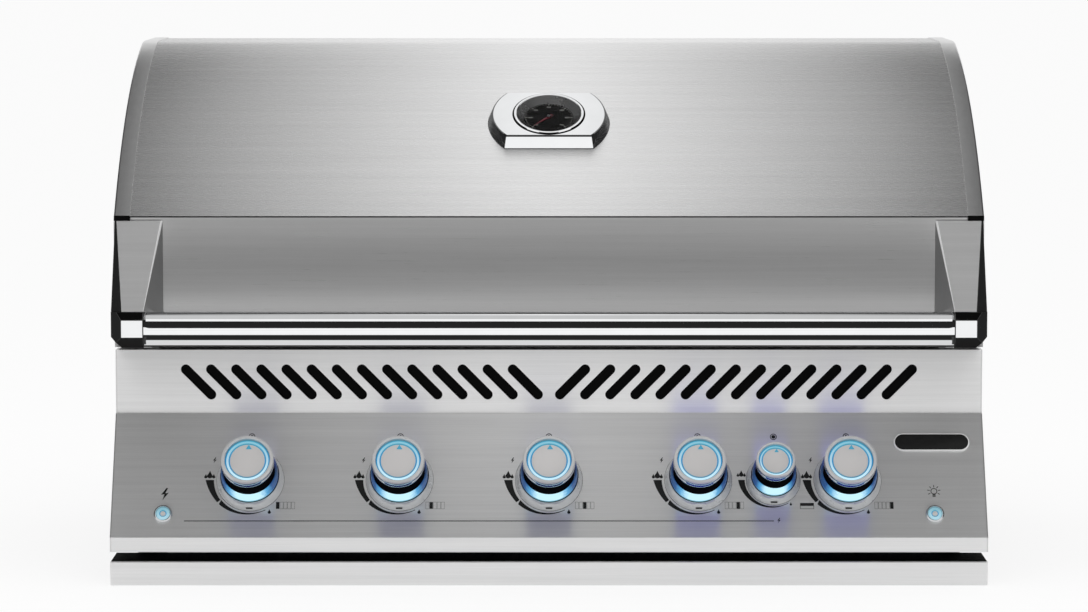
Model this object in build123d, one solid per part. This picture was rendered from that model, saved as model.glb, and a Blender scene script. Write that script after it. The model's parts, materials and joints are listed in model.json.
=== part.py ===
from build123d import *
import os
from math import acos, atan2, cos, degrees, hypot, radians, sin, sqrt, tan

# Built-in gas grill, in millimetres. X runs to the right, Y to the back, Z up.
# All places below count Y from the front face of the panel's lip and Z from the underside of the casing.
# The written solids are moved back so that the origin is the middle of the footprint.

# General values
overrun = 2
sliding_gap = 0.3
turning_gap = 0.05
seat_gap = 0.1

# Casing that hangs in the counter
width = 965
casing_side_inset = 22.5
casing_sheet = 1.5
casing_gap = 2
casing_rear = 600
flange_underside = 222
side_flange_width = 20
rear_flange_width = 35

# Fascia
fascia_sheet = 1.5
lip_bottom = 38
lip_top = 54
lip_return = 12
panel_tilt = 31
panel_top = 182
band_step = 3
band_top = 253
end_sheet = 1.5

# Vent slots in the band
slot_width = 11.2
slot_pitch = 28
slot_end_margin = 60
slot_upper_centre = 231
slot_lower_centre = 202.8
slot_run = 28
slot_inner_centre = 12.3

# Firebox
firebox_sheet = 2
firebox_side_gap = 24
firebox_front = 104
firebox_rear = 530
firebox_top = 268
firebox_waist = 130
firebox_mouth_side_inset = 136
firebox_mouth_end_inset = 83
firebox_bottom = 92
apron_lap = 10
apron_front_reach = 4
apron_rear_lap = 20
apron_sheet = 1.5
grid_ledge = 12
sear_ledge = 12
sear_ledge_top = 180

# Cooking grids
grid_depth_below_rim = 6
grid_count = 3
rod_diameter = 8
rod_pitch = 17
grid_gap = 3
grid_bar_width = 8
grid_bar_drop = 5
rod_sink = 3

# Burners and sear plates
burner_end_margin = 152.5
burner_count = 5
burner_height = 148
burner_radius = 14
burner_wall = 1.2
burner_throat_radius = 9
burner_throat_reach = 22
port_radius = 1.6
port_count = 11
port_pitch = 32
sear_width = 118
sear_rise = 26
sear_sheet = 1.5
sear_crown = 16

# Rear hood and rear burner
hood_overlap = 4
hood_rise = 70
hood_sheet = 1.5
hood_lip = 14
rear_burner_side_inset = 156
rear_burner_lift = 32
rear_burner_height = 110
rear_burner_depth = 38
rear_burner_sheet = 1.5
rear_burner_rim = 10
tile_inset = 12
tile_thickness = 12
tile_groove = 3
tile_groove_depth = 2
tile_groove_count = 9

# Warming rack
rack_side_gap = 46
rack_depth = 135
rack_rear_gap = 12
rack_lift = 157
rack_wire_radius = 3
rack_leg_radius = 4
rack_wire_count = 9
rack_foot_length = 30

# Lid
lid_side_inset = 1.5
lid_front = 60
lid_gap = 5
front_panel_height = 146
shoulder_reach = 361.1
crown_radius = 650
shoulder_radius = 150
lid_top = 586
lid_rear_gap = 45
rear_corner_radius = 30
lid_rear_lift = 40
lid_side_sheet = 1.2
rim_sheet = 1
rim_width = 18
skin_sheet = 1.2
skin_hem = 9
front_panel_setback = 1.6
front_panel_sheet = 1.2
front_hem = 14
liner_inset = 22
liner_sheet = 1

# Lid hinge
hinge_inset = 15
hinge_z = 300
hinge_pin_radius = 5
hinge_head_radius = 9
hinge_head = 1.2
hinge_bracket_sheet = 4
hinge_bracket_half = 20
hinge_bracket_inset = 6
hinge_foot = 26

# Handle
handle_radius = 19
handle_wall = 2
handle_y = 5
block_width = 36
block_inset = 2.4
block_lead = 2
block_lift = 6
block_tall = 40
block_upper_bevel = 7
block_lower_bevel = 12
block_outer_bevel = 12
handle_spigot = 6
bracket_top_gap = 2
bracket_side_gap = 0.2
bracket_inner_lean = 1.7
bracket_spread = 15.6
bracket_lip = 2
bracket_side_reach = 38

# Thermometer
gauge_elevation = 58.6
gauge_plate_radius = 64.2
gauge_foot_radius = 69.5
gauge_flat = 44.5
gauge_foot_flat = 50
gauge_plate_height = 12.5
gauge_plate_sink = 5
gauge_ring_outer = 41.2
gauge_ring_inner = 36.8
gauge_ring_height = 15
gauge_case_foot = 2
gauge_case_wall = 1.5
gauge_dial_gap = 1.8
gauge_dial_height = 6
gauge_dial_sheet = 1
gauge_glass_foot = 12
gauge_glass_sheet = 1.5
gauge_hub_radius = 2.5
gauge_needle_length = 24
gauge_needle_width = 3
gauge_needle_sheet = 0.8
gauge_needle_gap = 1
gauge_arbor_radius = 1.2
gauge_stem_radius = 5
gauge_stem_length = 70
gauge_rest_angle = 225

# Knobs, in radii and in heights above the sloping panel
knob_up_panel = 68.8
knob_height = 58
knob_cap_foot = 46
knob_rest_gap = 2
knob_edge = 1.5
knob_wall = 2.5
knob_boss_radius = 9
knob_boss_lift = 1
knob_bore_top = 45
knob_groove = 0.6
face_groove_inner_share = 0.684
face_groove_outer_share = 0.85
pointer_width = 7
pointer_height = 5
pointer_up_share = 0.44
large_knob_radius = 28.8
small_knob_radius = 21.6
small_knob_pitch_share = 1.503
bezel_spread = 8
bezel_top_spread = 3.8
bezel_height = 13
bezel_floor = 4
bezel_hole_radius = 12
light_top = 29
light_foot_spread = 3.2
light_top_spread = 1.8
light_gap = 0.6

# Valves and stems, in depths behind the sloping panel
stem_radius = 4
stem_collar_radius = 8
stem_collar_height = 3
stem_depth = 26
knob_push = 4
panel_hole_gap = 0.5
valve_mouth = 10
valve_depth = 40
valve_width = 30
valve_tall = 26
valve_saddle = 4
valve_neck_radius = 12
valve_bore_gap = 2
jet_radius = 4
jet_elbow_radius = 5.5
manifold_radius = 11
manifold_wall = 2.5
manifold_overhang = 50
manifold_end_gap = 10.5
rise_gap = 5

# Gas inlet pipe and its threaded end
inlet_radius = 8
inlet_elbow_radius = 9.5
inlet_wall = 1.2
inlet_side_gap = 4
inlet_hex = 26
inlet_hex_length = 12
inlet_thread_radius = 10.5
inlet_thread_length = 20

# Push buttons, in heights above the sloping panel
button_inset = 57.5
button_up_panel = 27.6
button_ring_radius = 10.4
button_ring_height = 3
button_ring_edge = 0.8
button_barrel_radius = 9
button_barrel_depth = 22
button_bore_radius = 7.5
button_floor = 2
button_radius = 7.2
button_height = 4
button_spring_room = 4
button_edge = 0.7
button_travel = 3

# Igniter and power supply
igniter_width = 46
igniter_height = 40
igniter_depth = 30
supply_width = 50
supply_length = 120
supply_height = 38
supply_foot = 56
supply_front = 170
supply_edge = 3

# Blank plaque
plaque_inset = 57.9
plaque_up_panel = 113.6
plaque_length = 84
plaque_height = 21
plaque_thickness = 3
plaque_rim = 1.6
plaque_floor = 0.8

# Drip tray
tray_front_y = 2
tray_foot = 0.5
tray_front_gap = 11
tray_sheet = 1.5
tray_deck_rear = 62
tray_return = 30
tray_rear_flange = 11
pan_side_gap = 33.5
pan_rear = 520
pan_foot = 6
pan_gap = 4
pan_sheet = 1.2
pan_rim = 14
rail_sheet = 1.5
rail_gap = 5
rail_height = 18

# Values worked out from the ones above
fascia_half = width / 2
lid_half = fascia_half - lid_side_inset
casing_half = fascia_half - casing_side_inset
casing_width = 2 * casing_half
firebox_half = casing_half - firebox_side_gap
firebox_width = 2 * firebox_half
firebox_mouth_width = firebox_width - 2 * firebox_mouth_side_inset
firebox_mouth_depth = firebox_rear - firebox_front - 2 * firebox_mouth_end_inset
rear_burner_width = firebox_width - 2 * rear_burner_side_inset
burner_pitch = 2 * (fascia_half - burner_end_margin) / (burner_count - 1)
slot_room = fascia_half - slot_end_margin - slot_inner_centre - slot_run
slot_count = int(slot_room / slot_pitch) + 1
firebox_middle = (firebox_front + firebox_rear) / 2
panel_slope = radians(panel_tilt)
panel_run = (panel_top - lip_top) * tan(panel_slope)
band_front = panel_run + band_step
casing_front = band_front + fascia_sheet + casing_gap
apron_foot = flange_underside + casing_sheet
apron_width = casing_width + 2 * apron_lap
apron_rear = casing_rear + apron_rear_lap
grid_top = firebox_top - grid_depth_below_rim
hood_width = firebox_width + 2 * hood_overlap
rear_burner_foot = firebox_top + rear_burner_lift
rear_burner_top = rear_burner_foot + rear_burner_height
hood_top = rear_burner_top + hood_rise
rack_width = firebox_width - 2 * rack_side_gap
rack_rear = firebox_rear - rear_burner_depth - rack_rear_gap
rack_front = rack_rear - rack_depth
rack_height = firebox_top + rack_lift
hinge_y = firebox_rear - hinge_inset
lid_foot = band_top + lid_gap
fold_height = lid_foot + front_panel_height
lid_rear = firebox_rear + lid_rear_gap
lid_rear_foot = hinge_z + lid_rear_lift
shoulder_y = lid_front + shoulder_reach
shoulder_z = lid_top - shoulder_radius
shoulder_far = hypot(shoulder_reach, shoulder_z - fold_height)
shoulder_rise = atan2(shoulder_z - fold_height, shoulder_reach)
crown_along = (shoulder_far**2 + 2 * crown_radius * shoulder_radius - shoulder_radius**2) / (2 * shoulder_far)
crown_lean = acos(crown_along / crown_radius) - shoulder_rise
crown_y = lid_front + crown_radius * cos(crown_lean)
crown_z = fold_height - crown_radius * sin(crown_lean)
crown_end = degrees(atan2(shoulder_z - crown_z, shoulder_y - crown_y))
block_outer = lid_half - block_inset
handle_half = block_outer - block_width
block_front = handle_y - handle_radius - block_lead
block_foot = lid_foot + block_lift
block_top = block_foot + block_tall
handle_z = (block_foot + block_top) / 2
bracket_top = fold_height - bracket_top_gap
bracket_top_outer = lid_half - lid_side_sheet - bracket_side_gap
bracket_base_inner = handle_half - bracket_spread
bracket_top_inner = bracket_base_inner + bracket_inner_lean
gauge_dial_radius = gauge_ring_inner - gauge_dial_gap
knob_foot = bezel_height + knob_push + knob_rest_gap
knob_boss_foot = knob_foot + knob_boss_lift
small_knob_x = burner_pitch * small_knob_pitch_share
button_x = fascia_half - button_inset
button_depth = button_barrel_depth - button_floor - button_travel - button_spring_room
plaque_x = fascia_half - plaque_inset
tray_top = lip_bottom - tray_front_gap
pan_top = lip_bottom - pan_gap
pan_width = casing_width - 2 * (casing_sheet + pan_side_gap)
rail_inner = pan_width / 2 + rail_gap
knob_front_reach = max(
    knob_height * cos(panel_slope) + (large_knob_radius - knob_edge) * sin(panel_slope),
    (knob_height - knob_edge) * cos(panel_slope) + large_knob_radius * sin(panel_slope),
)
front_reach = knob_up_panel * sin(panel_slope) - knob_front_reach
rear_reach = casing_rear + rear_flange_width
origin_y = (front_reach + rear_reach) / 2
burner_xs = [(n - (burner_count - 1) / 2) * burner_pitch for n in range(burner_count)]
panel_hole_radius = valve_neck_radius + panel_hole_gap
valve_middle = (valve_mouth + valve_depth) / 2
valve_bore_depth = stem_depth + knob_push + valve_bore_gap
valve_y = knob_up_panel * sin(panel_slope) + valve_middle * cos(panel_slope)
valve_z = lip_top + knob_up_panel * cos(panel_slope) - valve_middle * sin(panel_slope)
manifold_z = valve_z - valve_tall / 2 - manifold_radius
inlet_x = casing_half - casing_sheet - inlet_radius - inlet_side_gap
manifold_left = max(burner_xs) + manifold_overhang
manifold_right = inlet_x - manifold_end_gap
panel_plane = Plane(
    origin=(0, 0, lip_top), x_dir=(1, 0, 0), z_dir=(0, -cos(panel_slope), sin(panel_slope))
)
gauge_slope = radians(gauge_elevation)
gauge_plane = Plane(
    origin=(0, crown_y - crown_radius * cos(gauge_slope), crown_z + crown_radius * sin(gauge_slope)),
    x_dir=(1, 0, 0),
    z_dir=(0, -cos(gauge_slope), sin(gauge_slope)),
)


# Helpers
def block(x, y, z):
    """A box between three pairs of limits."""
    size = [high - low for low, high in (x, y, z)]
    middle = [(low + high) / 2 for low, high in (x, y, z)]
    return Pos(*middle) * Box(*size)


def across(face_points, half, low=None):
    """A prism along X from its (Y, Z) outline, from minus half to half, or from low to half."""
    start = -half if low is None else low
    face = Plane.YZ * Polygon(*face_points, align=None)
    return Pos(start, 0, 0) * extrude(face, half - start, dir=(1, 0, 0))


def upward(face_points, low, high):
    """An upright prism from its (X, Y) outline."""
    face = Polygon(*face_points, align=None)
    return Pos(0, 0, low) * extrude(face, high - low, dir=(0, 0, 1))


def backward(face_points, front, rear):
    """A prism along Y from its (X, Z) outline."""
    face = Plane.XZ * Polygon(*face_points, align=None)
    return Pos(0, front, 0) * extrude(face, rear - front, dir=(0, 1, 0))


def moved_outline(points, distance):
    """An open outline moved to its left by a distance, with mitred corners."""
    steps = [(Vector(*b) - Vector(*a)).normalized() for a, b in zip(points, points[1:])]
    normals = [Vector(-step.Y, step.X) for step in steps]
    moved = [Vector(*points[0]) + normals[0] * distance]
    for before, after, point in zip(normals, normals[1:], points[1:]):
        moved.append(Vector(*point) + (before + after) * (distance / (1 + before.dot(after))))
    moved.append(Vector(*points[-1]) + normals[-1] * distance)
    return [(point.X, point.Y) for point in moved]


def sheet(points, thickness):
    """The closed section of a bent sheet, thickened to the left of its outline."""
    return list(points) + moved_outline(points, thickness)[::-1]


def turned(points):
    """A solid of revolution about Z from its (radius, height) outline."""
    return revolve(Plane.XZ * Polygon(*points, align=None), Axis.Z)


def rod(start, end, radius):
    """A round bar between two points."""
    line = Vector(*end) - Vector(*start)
    return Plane(origin=start, z_dir=line) * Cylinder(
        radius, line.length, align=(Align.CENTER, Align.CENTER, Align.MIN)
    )


def mirrored(solid):
    """The same piece on the other side of the grill."""
    return mirror(solid, about=Plane.YZ)


def polar(centre, radius, angle):
    """A point on a circle in the side view."""
    return (centre[0] + radius * cos(radians(angle)), centre[1] + radius * sin(radians(angle)))


def arc(centre, radius, start, end):
    """An arc in the side view from one angle to another."""
    points = [polar(centre, radius, angle) for angle in (start, (start + end) / 2, end)]
    return ThreePointArc(*points)


def write(name, solid):
    """Writes one node, moved so that the origin is the middle of the footprint."""
    export_step(Pos(0, -origin_y, 0) * solid, f"parts/{name}.step")


# Side outline of the lid
def fold_point(inset):
    """Where the upright front meets the curved top, on the outline moved inwards."""
    front = lid_front + inset
    crown = crown_radius - inset
    return (front, crown_z + sqrt(crown**2 - (crown_y - front) ** 2))


def lid_arcs(inset):
    """The curved top, the shoulder, the flat top and the rear corner."""
    crown = crown_radius - inset
    fold = fold_point(inset)
    fold_angle = degrees(atan2(fold[1] - crown_z, fold[0] - crown_y))
    top = lid_top - inset
    corner = (lid_rear - rear_corner_radius, lid_top - rear_corner_radius)
    shoulder = (shoulder_y, shoulder_z)
    return [
        arc((crown_y, crown_z), crown, fold_angle, crown_end),
        arc(shoulder, shoulder_radius - inset, crown_end, 90),
        Line((shoulder_y, top), (corner[0], top)),
        arc(corner, rear_corner_radius - inset, 90, 0),
    ]


def lid_face(inset, front_foot, rear_foot):
    """The whole side of the lid as a face, closed straight across its foot."""
    fold = fold_point(inset)
    front = lid_front + inset
    rear = lid_rear - inset
    corner_z = lid_top - rear_corner_radius
    edges = [Line((front, front_foot), fold)]
    edges += lid_arcs(inset)
    edges += [Line((rear, corner_z), (rear, rear_foot)), Line((rear, rear_foot), (front, front_foot))]
    return Plane.YZ * make_face(Wire(edges))


def lid_solid(inset, half, front_foot=lid_foot, rear_foot=lid_rear_foot):
    """The lid's side face as a solid across the grill."""
    return extrude(lid_face(inset, front_foot, rear_foot), half, both=True)


def lid_shell(inset, thickness, half):
    """A bent sheet along the lid's outline."""
    inner = lid_solid(inset + thickness, half + overrun, lid_foot - overrun, lid_rear_foot - overrun)
    return lid_solid(inset, half) - inner


# Casing
def casing():
    """The outer box: floor, sides, back, hanging flanges and the two front ears."""
    sheet_t = casing_sheet
    top = flange_underside + sheet_t
    outer = block((-casing_half, casing_half), (casing_front, casing_rear), (0, top))
    inner = block(
        (-casing_half + sheet_t, casing_half - sheet_t),
        (casing_front - overrun, casing_rear - sheet_t),
        (sheet_t, top + overrun),
    )
    body = outer - inner
    flange_half = casing_half + side_flange_width
    flange = block(
        (-flange_half, flange_half),
        (firebox_front, casing_rear + rear_flange_width),
        (flange_underside, top),
    )
    hole = block(
        (-casing_half + sheet_t, casing_half - sheet_t),
        (firebox_front - overrun, casing_rear - sheet_t),
        (flange_underside - overrun, top + overrun),
    )
    ear = block(
        (casing_half - sheet_t, fascia_half - end_sheet),
        (firebox_front - sheet_t, firebox_front),
        (lip_bottom, top),
    )
    pipe = rod(
        (inlet_x, casing_rear - overrun - sheet_t, manifold_z),
        (inlet_x, casing_rear + overrun, manifold_z),
        inlet_radius + sliding_gap,
    )
    return body + (flange - hole) + ear + mirrored(ear) - pipe


# Fascia
def fascia_outline():
    """The outer face of the bent front, from the lip's return to the return on top."""
    return [
        (lip_return, lip_bottom),
        (0, lip_bottom),
        (0, lip_top),
        (panel_run, panel_top),
        (band_front, panel_top),
        (band_front, band_top),
        (firebox_front, band_top),
    ]


def vent_slots():
    """The slanted slots, which lean towards the middle on both sides."""
    slots = []
    run = Vector(slot_run, slot_lower_centre - slot_upper_centre)
    for side in (-1, 1):
        for n in range(slot_count):
            x = side * (slot_inner_centre + n * slot_pitch + slot_run / 2)
            z = (slot_upper_centre + slot_lower_centre) / 2
            angle = -side * degrees(atan2(run.Y, run.X))
            slot = Plane.XZ * Pos(x, z) * Rot(0, 0, angle) * SlotCenterToCenter(run.length, slot_width)
            slots.append(Pos(0, band_front, 0) * extrude(slot, overrun + fascia_sheet, both=True))
    return slots


def panel_holes():
    """The holes for the stems and the buttons."""
    holes = []
    for x in burner_xs + [small_knob_x]:
        holes.append(panel_plane * Pos(x, knob_up_panel, 0) * Cylinder(panel_hole_radius, 4 * overrun))
    for x in (-button_x, button_x):
        holes.append(
            panel_plane * Pos(x, button_up_panel, 0) * Cylinder(button_barrel_radius, 4 * overrun)
        )
    return holes


def fascia():
    """Vent band, control panel and lip, bent from one sheet."""
    body = across(sheet(fascia_outline(), -fascia_sheet), fascia_half - end_sheet)
    return body - vent_slots() - panel_holes()


def fascia_end():
    """The right closed end of the fascia."""
    outline = fascia_outline()[1:] + [(firebox_front, lip_bottom)]
    return across(outline, fascia_half, fascia_half - end_sheet)


# Firebox
def firebox_funnel(shrink):
    """The tapered lower half as a solid, with its walls moved inwards."""
    top = Pos(0, firebox_middle, firebox_waist) * Rectangle(
        firebox_width - 2 * shrink, firebox_rear - firebox_front - 2 * shrink
    )
    mouth = Pos(0, firebox_middle, firebox_bottom) * Rectangle(
        firebox_mouth_width - 2 * shrink, firebox_mouth_depth - 2 * shrink
    )
    return loft([top, mouth])


def ledge(width_in, top, height):
    """A ledge round the inside of the firebox's upright walls."""
    half = firebox_half - firebox_sheet
    front = firebox_front + firebox_sheet
    rear = firebox_rear - firebox_sheet
    outer = block((-half, half), (front, rear), (top - height, top))
    hole = block(
        (-half + width_in, half - width_in),
        (front + width_in, rear - width_in),
        (top - height - overrun, top + overrun),
    )
    return outer - hole


def firebox():
    """The inner box: upright walls, funnel, ledges and the apron that covers the casing."""
    walls = block(
        (-firebox_half, firebox_half), (firebox_front, firebox_rear), (firebox_waist, firebox_top)
    )
    walls += firebox_funnel(0)
    half = firebox_half - firebox_sheet
    room = block(
        (-half, half),
        (firebox_front + firebox_sheet, firebox_rear - firebox_sheet),
        (firebox_waist, firebox_top + overrun),
    )
    room += firebox_funnel(firebox_sheet)
    foot = apron_foot
    apron = block(
        (-apron_width / 2, apron_width / 2),
        (firebox_front + apron_front_reach, apron_rear),
        (foot, foot + apron_sheet),
    )
    body = walls + apron - room
    body += ledge(grid_ledge, grid_top - rod_diameter - grid_bar_drop, firebox_sheet)
    body += ledge(sear_ledge, sear_ledge_top, firebox_sheet)
    for x in burner_xs:
        start = (x, firebox_front - overrun, burner_height)
        end = (x, firebox_front + firebox_sheet + overrun, burner_height)
        body -= rod(start, end, burner_throat_radius + sliding_gap)
    return body


# Burners
def burner(x):
    """A tube burner with a narrow throat at the front and a row of ports on each side."""
    front = firebox_front + firebox_sheet + burner_throat_reach
    rear = firebox_rear - firebox_sheet
    z = burner_height
    mouth = firebox_front - burner_throat_reach
    tube = rod((x, front, z), (x, rear, z), burner_radius)
    tube += rod((x, mouth, z), (x, front, z), burner_throat_radius)
    bore = rod((x, front + burner_wall, z), (x, rear - burner_wall, z), burner_radius - burner_wall)
    bore += rod(
        (x, mouth - overrun, z), (x, front + 2 * burner_wall, z), burner_throat_radius - burner_wall
    )
    tube -= bore
    middle = (front + rear) / 2
    for n in range(port_count):
        y = middle + (n - (port_count - 1) / 2) * port_pitch
        start = (x - burner_radius - overrun, y, z + burner_radius / 2)
        end = (x + burner_radius + overrun, y, z + burner_radius / 2)
        tube -= rod(start, end, port_radius)
    return tube


def sear_plate(x):
    """A folded plate over one burner, laid on the ledge."""
    low = sear_ledge_top
    outline = [
        (x - sear_width / 2, low),
        (x - sear_crown / 2, low + sear_rise),
        (x + sear_crown / 2, low + sear_rise),
        (x + sear_width / 2, low),
    ]
    inner = [(px, pz - sear_sheet) for px, pz in outline]
    inner[0] = (outline[0][0] + sear_sheet * sear_width / sear_rise / 2, low)
    inner[-1] = (outline[-1][0] - sear_sheet * sear_width / sear_rise / 2, low)
    front = firebox_front + firebox_sheet + sliding_gap
    rear = firebox_rear - firebox_sheet - sliding_gap
    return backward(outline + inner[::-1], front, rear)


# Cooking grids
def cooking_grid(place):
    """One of the grids side by side: round rods on three cross bars."""
    room = firebox_width - 2 * firebox_sheet
    grid_width = (room - (grid_count + 1) * grid_gap) / grid_count
    x = place * (grid_width + grid_gap)
    front = firebox_front + firebox_sheet + grid_gap
    rear = firebox_rear - firebox_sheet - grid_gap
    rod_z = grid_top - rod_diameter / 2
    rod_count = int((grid_width - rod_diameter) / rod_pitch) + 1
    span = (rod_count - 1) * rod_pitch
    bar_top = grid_top - rod_diameter + rod_sink
    bar_foot = grid_top - rod_diameter - grid_bar_drop
    grid = None
    for y in (front, (front + rear - grid_bar_width) / 2, rear - grid_bar_width):
        bar = block(
            (x - span / 2 - rod_diameter / 2, x + span / 2 + rod_diameter / 2),
            (y, y + grid_bar_width),
            (bar_foot, bar_top),
        )
        grid = bar if grid is None else grid + bar
    rods = []
    for n in range(rod_count):
        rx = x - span / 2 + n * rod_pitch
        rods.append(rod((rx, front, rod_z), (rx, rear, rod_z), rod_diameter / 2))
    return grid + rods


def warming_rack():
    """A wire shelf on four legs that stand on the firebox's side walls."""
    r = rack_wire_radius
    half = rack_width / 2
    leg_x = firebox_half - firebox_sheet / 2
    z = rack_height
    pieces = []
    for y in (rack_front, rack_rear):
        pieces.append(rod((-leg_x, y, z), (leg_x, y, z), r))
        for side in (-1, 1):
            start = (side * leg_x, y, firebox_top)
            pieces.append(rod(start, (side * leg_x, y, z + 2 * r), rack_leg_radius))
    for side in (-1, 1):
        foot = firebox_top + rack_leg_radius
        pieces.append(rod((side * leg_x, rack_front, foot), (side * leg_x, rack_rear, foot), r))
    for n in range(rack_wire_count):
        x = -half + n * rack_width / (rack_wire_count - 1)
        start = (x, rack_front - rack_foot_length / 2, z + r)
        end = (x, rack_rear + rack_foot_length / 2, z + r)
        pieces.append(rod(start, end, r))
    return pieces[0] + pieces[1:]


# Rear hood and rear burner
def rear_hood():
    """The fixed back plate behind the rear burner, folded forwards on top."""
    front = firebox_rear
    outline = [
        (front, apron_foot + apron_sheet),
        (front, hood_top),
        (front - hood_lip, hood_top),
    ]
    return across(sheet(outline, -hood_sheet), hood_width / 2)


def rear_burner():
    """The rear burner's tray, open to the front, with a rim round its mouth."""
    rear = firebox_rear
    front = rear - rear_burner_depth
    half = rear_burner_width / 2
    foot, top = rear_burner_foot, rear_burner_top
    rim = rear_burner_rim
    t = rear_burner_sheet
    body = block((-half, half), (front, rear), (foot, top))
    body += block((-half - rim, half + rim), (front, front + t), (foot - rim, top + rim))
    return body - block((-half + t, half - t), (front - overrun, rear - t), (foot + t, top - t))


def rear_burner_tile():
    """The grooved ceramic tile in the rear burner's tray."""
    rear = firebox_rear - rear_burner_sheet
    half = rear_burner_width / 2 - rear_burner_sheet
    foot = rear_burner_foot + rear_burner_sheet
    top = rear_burner_top - rear_burner_sheet
    front = rear - tile_thickness
    tile = block((-half, half), (front, rear), (foot, top))
    pitch = (top - foot) / (tile_groove_count + 1)
    for n in range(tile_groove_count):
        z = foot + (n + 1) * pitch
        tile -= block(
            (-half + tile_inset, half - tile_inset),
            (front - overrun, front + tile_groove_depth),
            (z - tile_groove / 2, z + tile_groove / 2),
        )
    return tile


# Lid
def lid_skin():
    """The curved upper skin and the back of the lid, hemmed under the fold."""
    shell = lid_shell(rim_sheet, skin_sheet, lid_half - lid_side_sheet)
    cut_top = fold_point(rim_sheet)[1] - skin_sheet
    cut = block(
        (-lid_half, lid_half),
        (lid_front - overrun, lid_front + rear_corner_radius),
        (lid_foot - overrun, cut_top),
    )
    hole = gauge_plane * Cylinder(gauge_ring_outer + seat_gap, 2 * liner_inset)
    return shell - cut - hole


def lid_front_panel():
    """The upright lower panel, set back a little behind the fold and hemmed at its foot."""
    front = lid_front + front_panel_setback
    t = front_panel_sheet
    top = fold_point(rim_sheet)[1] - skin_sheet
    outline = [(front + front_hem, lid_foot), (front, lid_foot), (front, top), (front + skin_hem, top)]
    return across(sheet(outline, -t), lid_half - lid_side_sheet)


def lid_liner():
    """The inner skin of the double-walled lid."""
    shell = lid_shell(liner_inset, liner_sheet, lid_half - lid_side_sheet)
    return shell - gauge_plane * Cylinder(gauge_stem_radius + sliding_gap, 4 * liner_inset)


def lid_side():
    """The right end panel with its hinge lug, and the rim that wraps over the skin."""
    lug = hinge_z - lid_foot
    fold = fold_point(0)
    corner_z = lid_top - rear_corner_radius
    edges = [Line((lid_front, lid_foot), fold)]
    edges += lid_arcs(0)
    edges += [
        Line((lid_rear, corner_z), (lid_rear, lid_rear_foot)),
        Line((lid_rear, lid_rear_foot), (hinge_y + lug, hinge_z)),
        arc((hinge_y, hinge_z), lug, 0, -90),
        Line((hinge_y, lid_foot), (lid_front, lid_foot)),
    ]
    face = Plane.YZ * make_face(Wire(edges))
    inner = lid_half - lid_side_sheet
    plate = Pos(inner, 0, 0) * extrude(face, lid_side_sheet)
    rim = lid_shell(0, rim_sheet, lid_half)
    keep = block(
        (lid_half - rim_width, lid_half), (lid_front, lid_rear), (lid_foot, lid_top)
    )
    below_fold = block(
        (0, lid_half + overrun),
        (lid_front - overrun, lid_front + rear_corner_radius),
        (lid_foot - overrun, fold[1] - rim_sheet),
    )
    pin_hole = rod(
        (inner - overrun, hinge_y, hinge_z),
        (lid_half + overrun, hinge_y, hinge_z),
        hinge_pin_radius + turning_gap,
    )
    return plate + ((rim & keep) - below_fold) - pin_hole


def hinge_bracket():
    """The right upright plate on the apron, with the lid's hinge pin."""
    outer = lid_half - lid_side_sheet - hinge_bracket_inset
    inner = outer - hinge_bracket_sheet
    foot = apron_foot + apron_sheet
    half = hinge_bracket_half
    plate = block((inner, outer), (hinge_y - half, hinge_y + half), (foot, hinge_z))
    plate += rod((inner, hinge_y, hinge_z), (outer, hinge_y, hinge_z), half)
    plate += block(
        (inner - hinge_foot, inner), (hinge_y - half, hinge_y + half), (foot, foot + hinge_bracket_sheet)
    )
    head_foot = lid_half + sliding_gap
    plate += rod((inner, hinge_y, hinge_z), (head_foot, hinge_y, hinge_z), hinge_pin_radius)
    head_end = head_foot + hinge_head
    return plate + rod((head_foot, hinge_y, hinge_z), (head_end, hinge_y, hinge_z), hinge_head_radius)


# Handle
def handle_tube():
    """The round handle bar."""
    ends = [(side * handle_half, handle_y, handle_z) for side in (-1, 1)]
    long_ends = [(side * (handle_half + overrun), handle_y, handle_z) for side in (-1, 1)]
    return rod(*ends, handle_radius) - rod(*long_ends, handle_radius - handle_wall)


def handle_end():
    """The right faceted end block, with the spigot that holds the bar."""
    rear = lid_front + front_panel_setback
    outline = [
        (rear, block_foot),
        (block_front + block_lower_bevel, block_foot),
        (block_front, block_foot + block_lower_bevel),
        (block_front, block_top - block_upper_bevel),
        (block_front + block_upper_bevel, block_top),
        (rear, block_top),
    ]
    solid = across(outline, block_outer, handle_half)
    bevel = block_outer_bevel
    corner = [
        (block_outer - bevel, block_front),
        (block_outer - bevel, block_front - overrun),
        (block_outer + overrun, block_front - overrun),
        (block_outer + overrun, block_front + bevel),
        (block_outer, block_front + bevel),
    ]
    front_cut = upward(corner, block_foot - overrun, block_top + overrun)
    low_corner = [
        (block_outer - bevel, block_foot),
        (block_outer - bevel, block_foot - overrun),
        (block_outer + overrun, block_foot - overrun),
        (block_outer + overrun, block_foot + bevel),
        (block_outer, block_foot + bevel),
    ]
    low_cut = backward(low_corner, block_front - overrun, rear + overrun)
    spigot = rod(
        (handle_half - handle_spigot, handle_y, handle_z),
        (handle_half, handle_y, handle_z),
        handle_radius - handle_wall - seat_gap,
    )
    return solid - front_cut - low_cut + spigot


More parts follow.
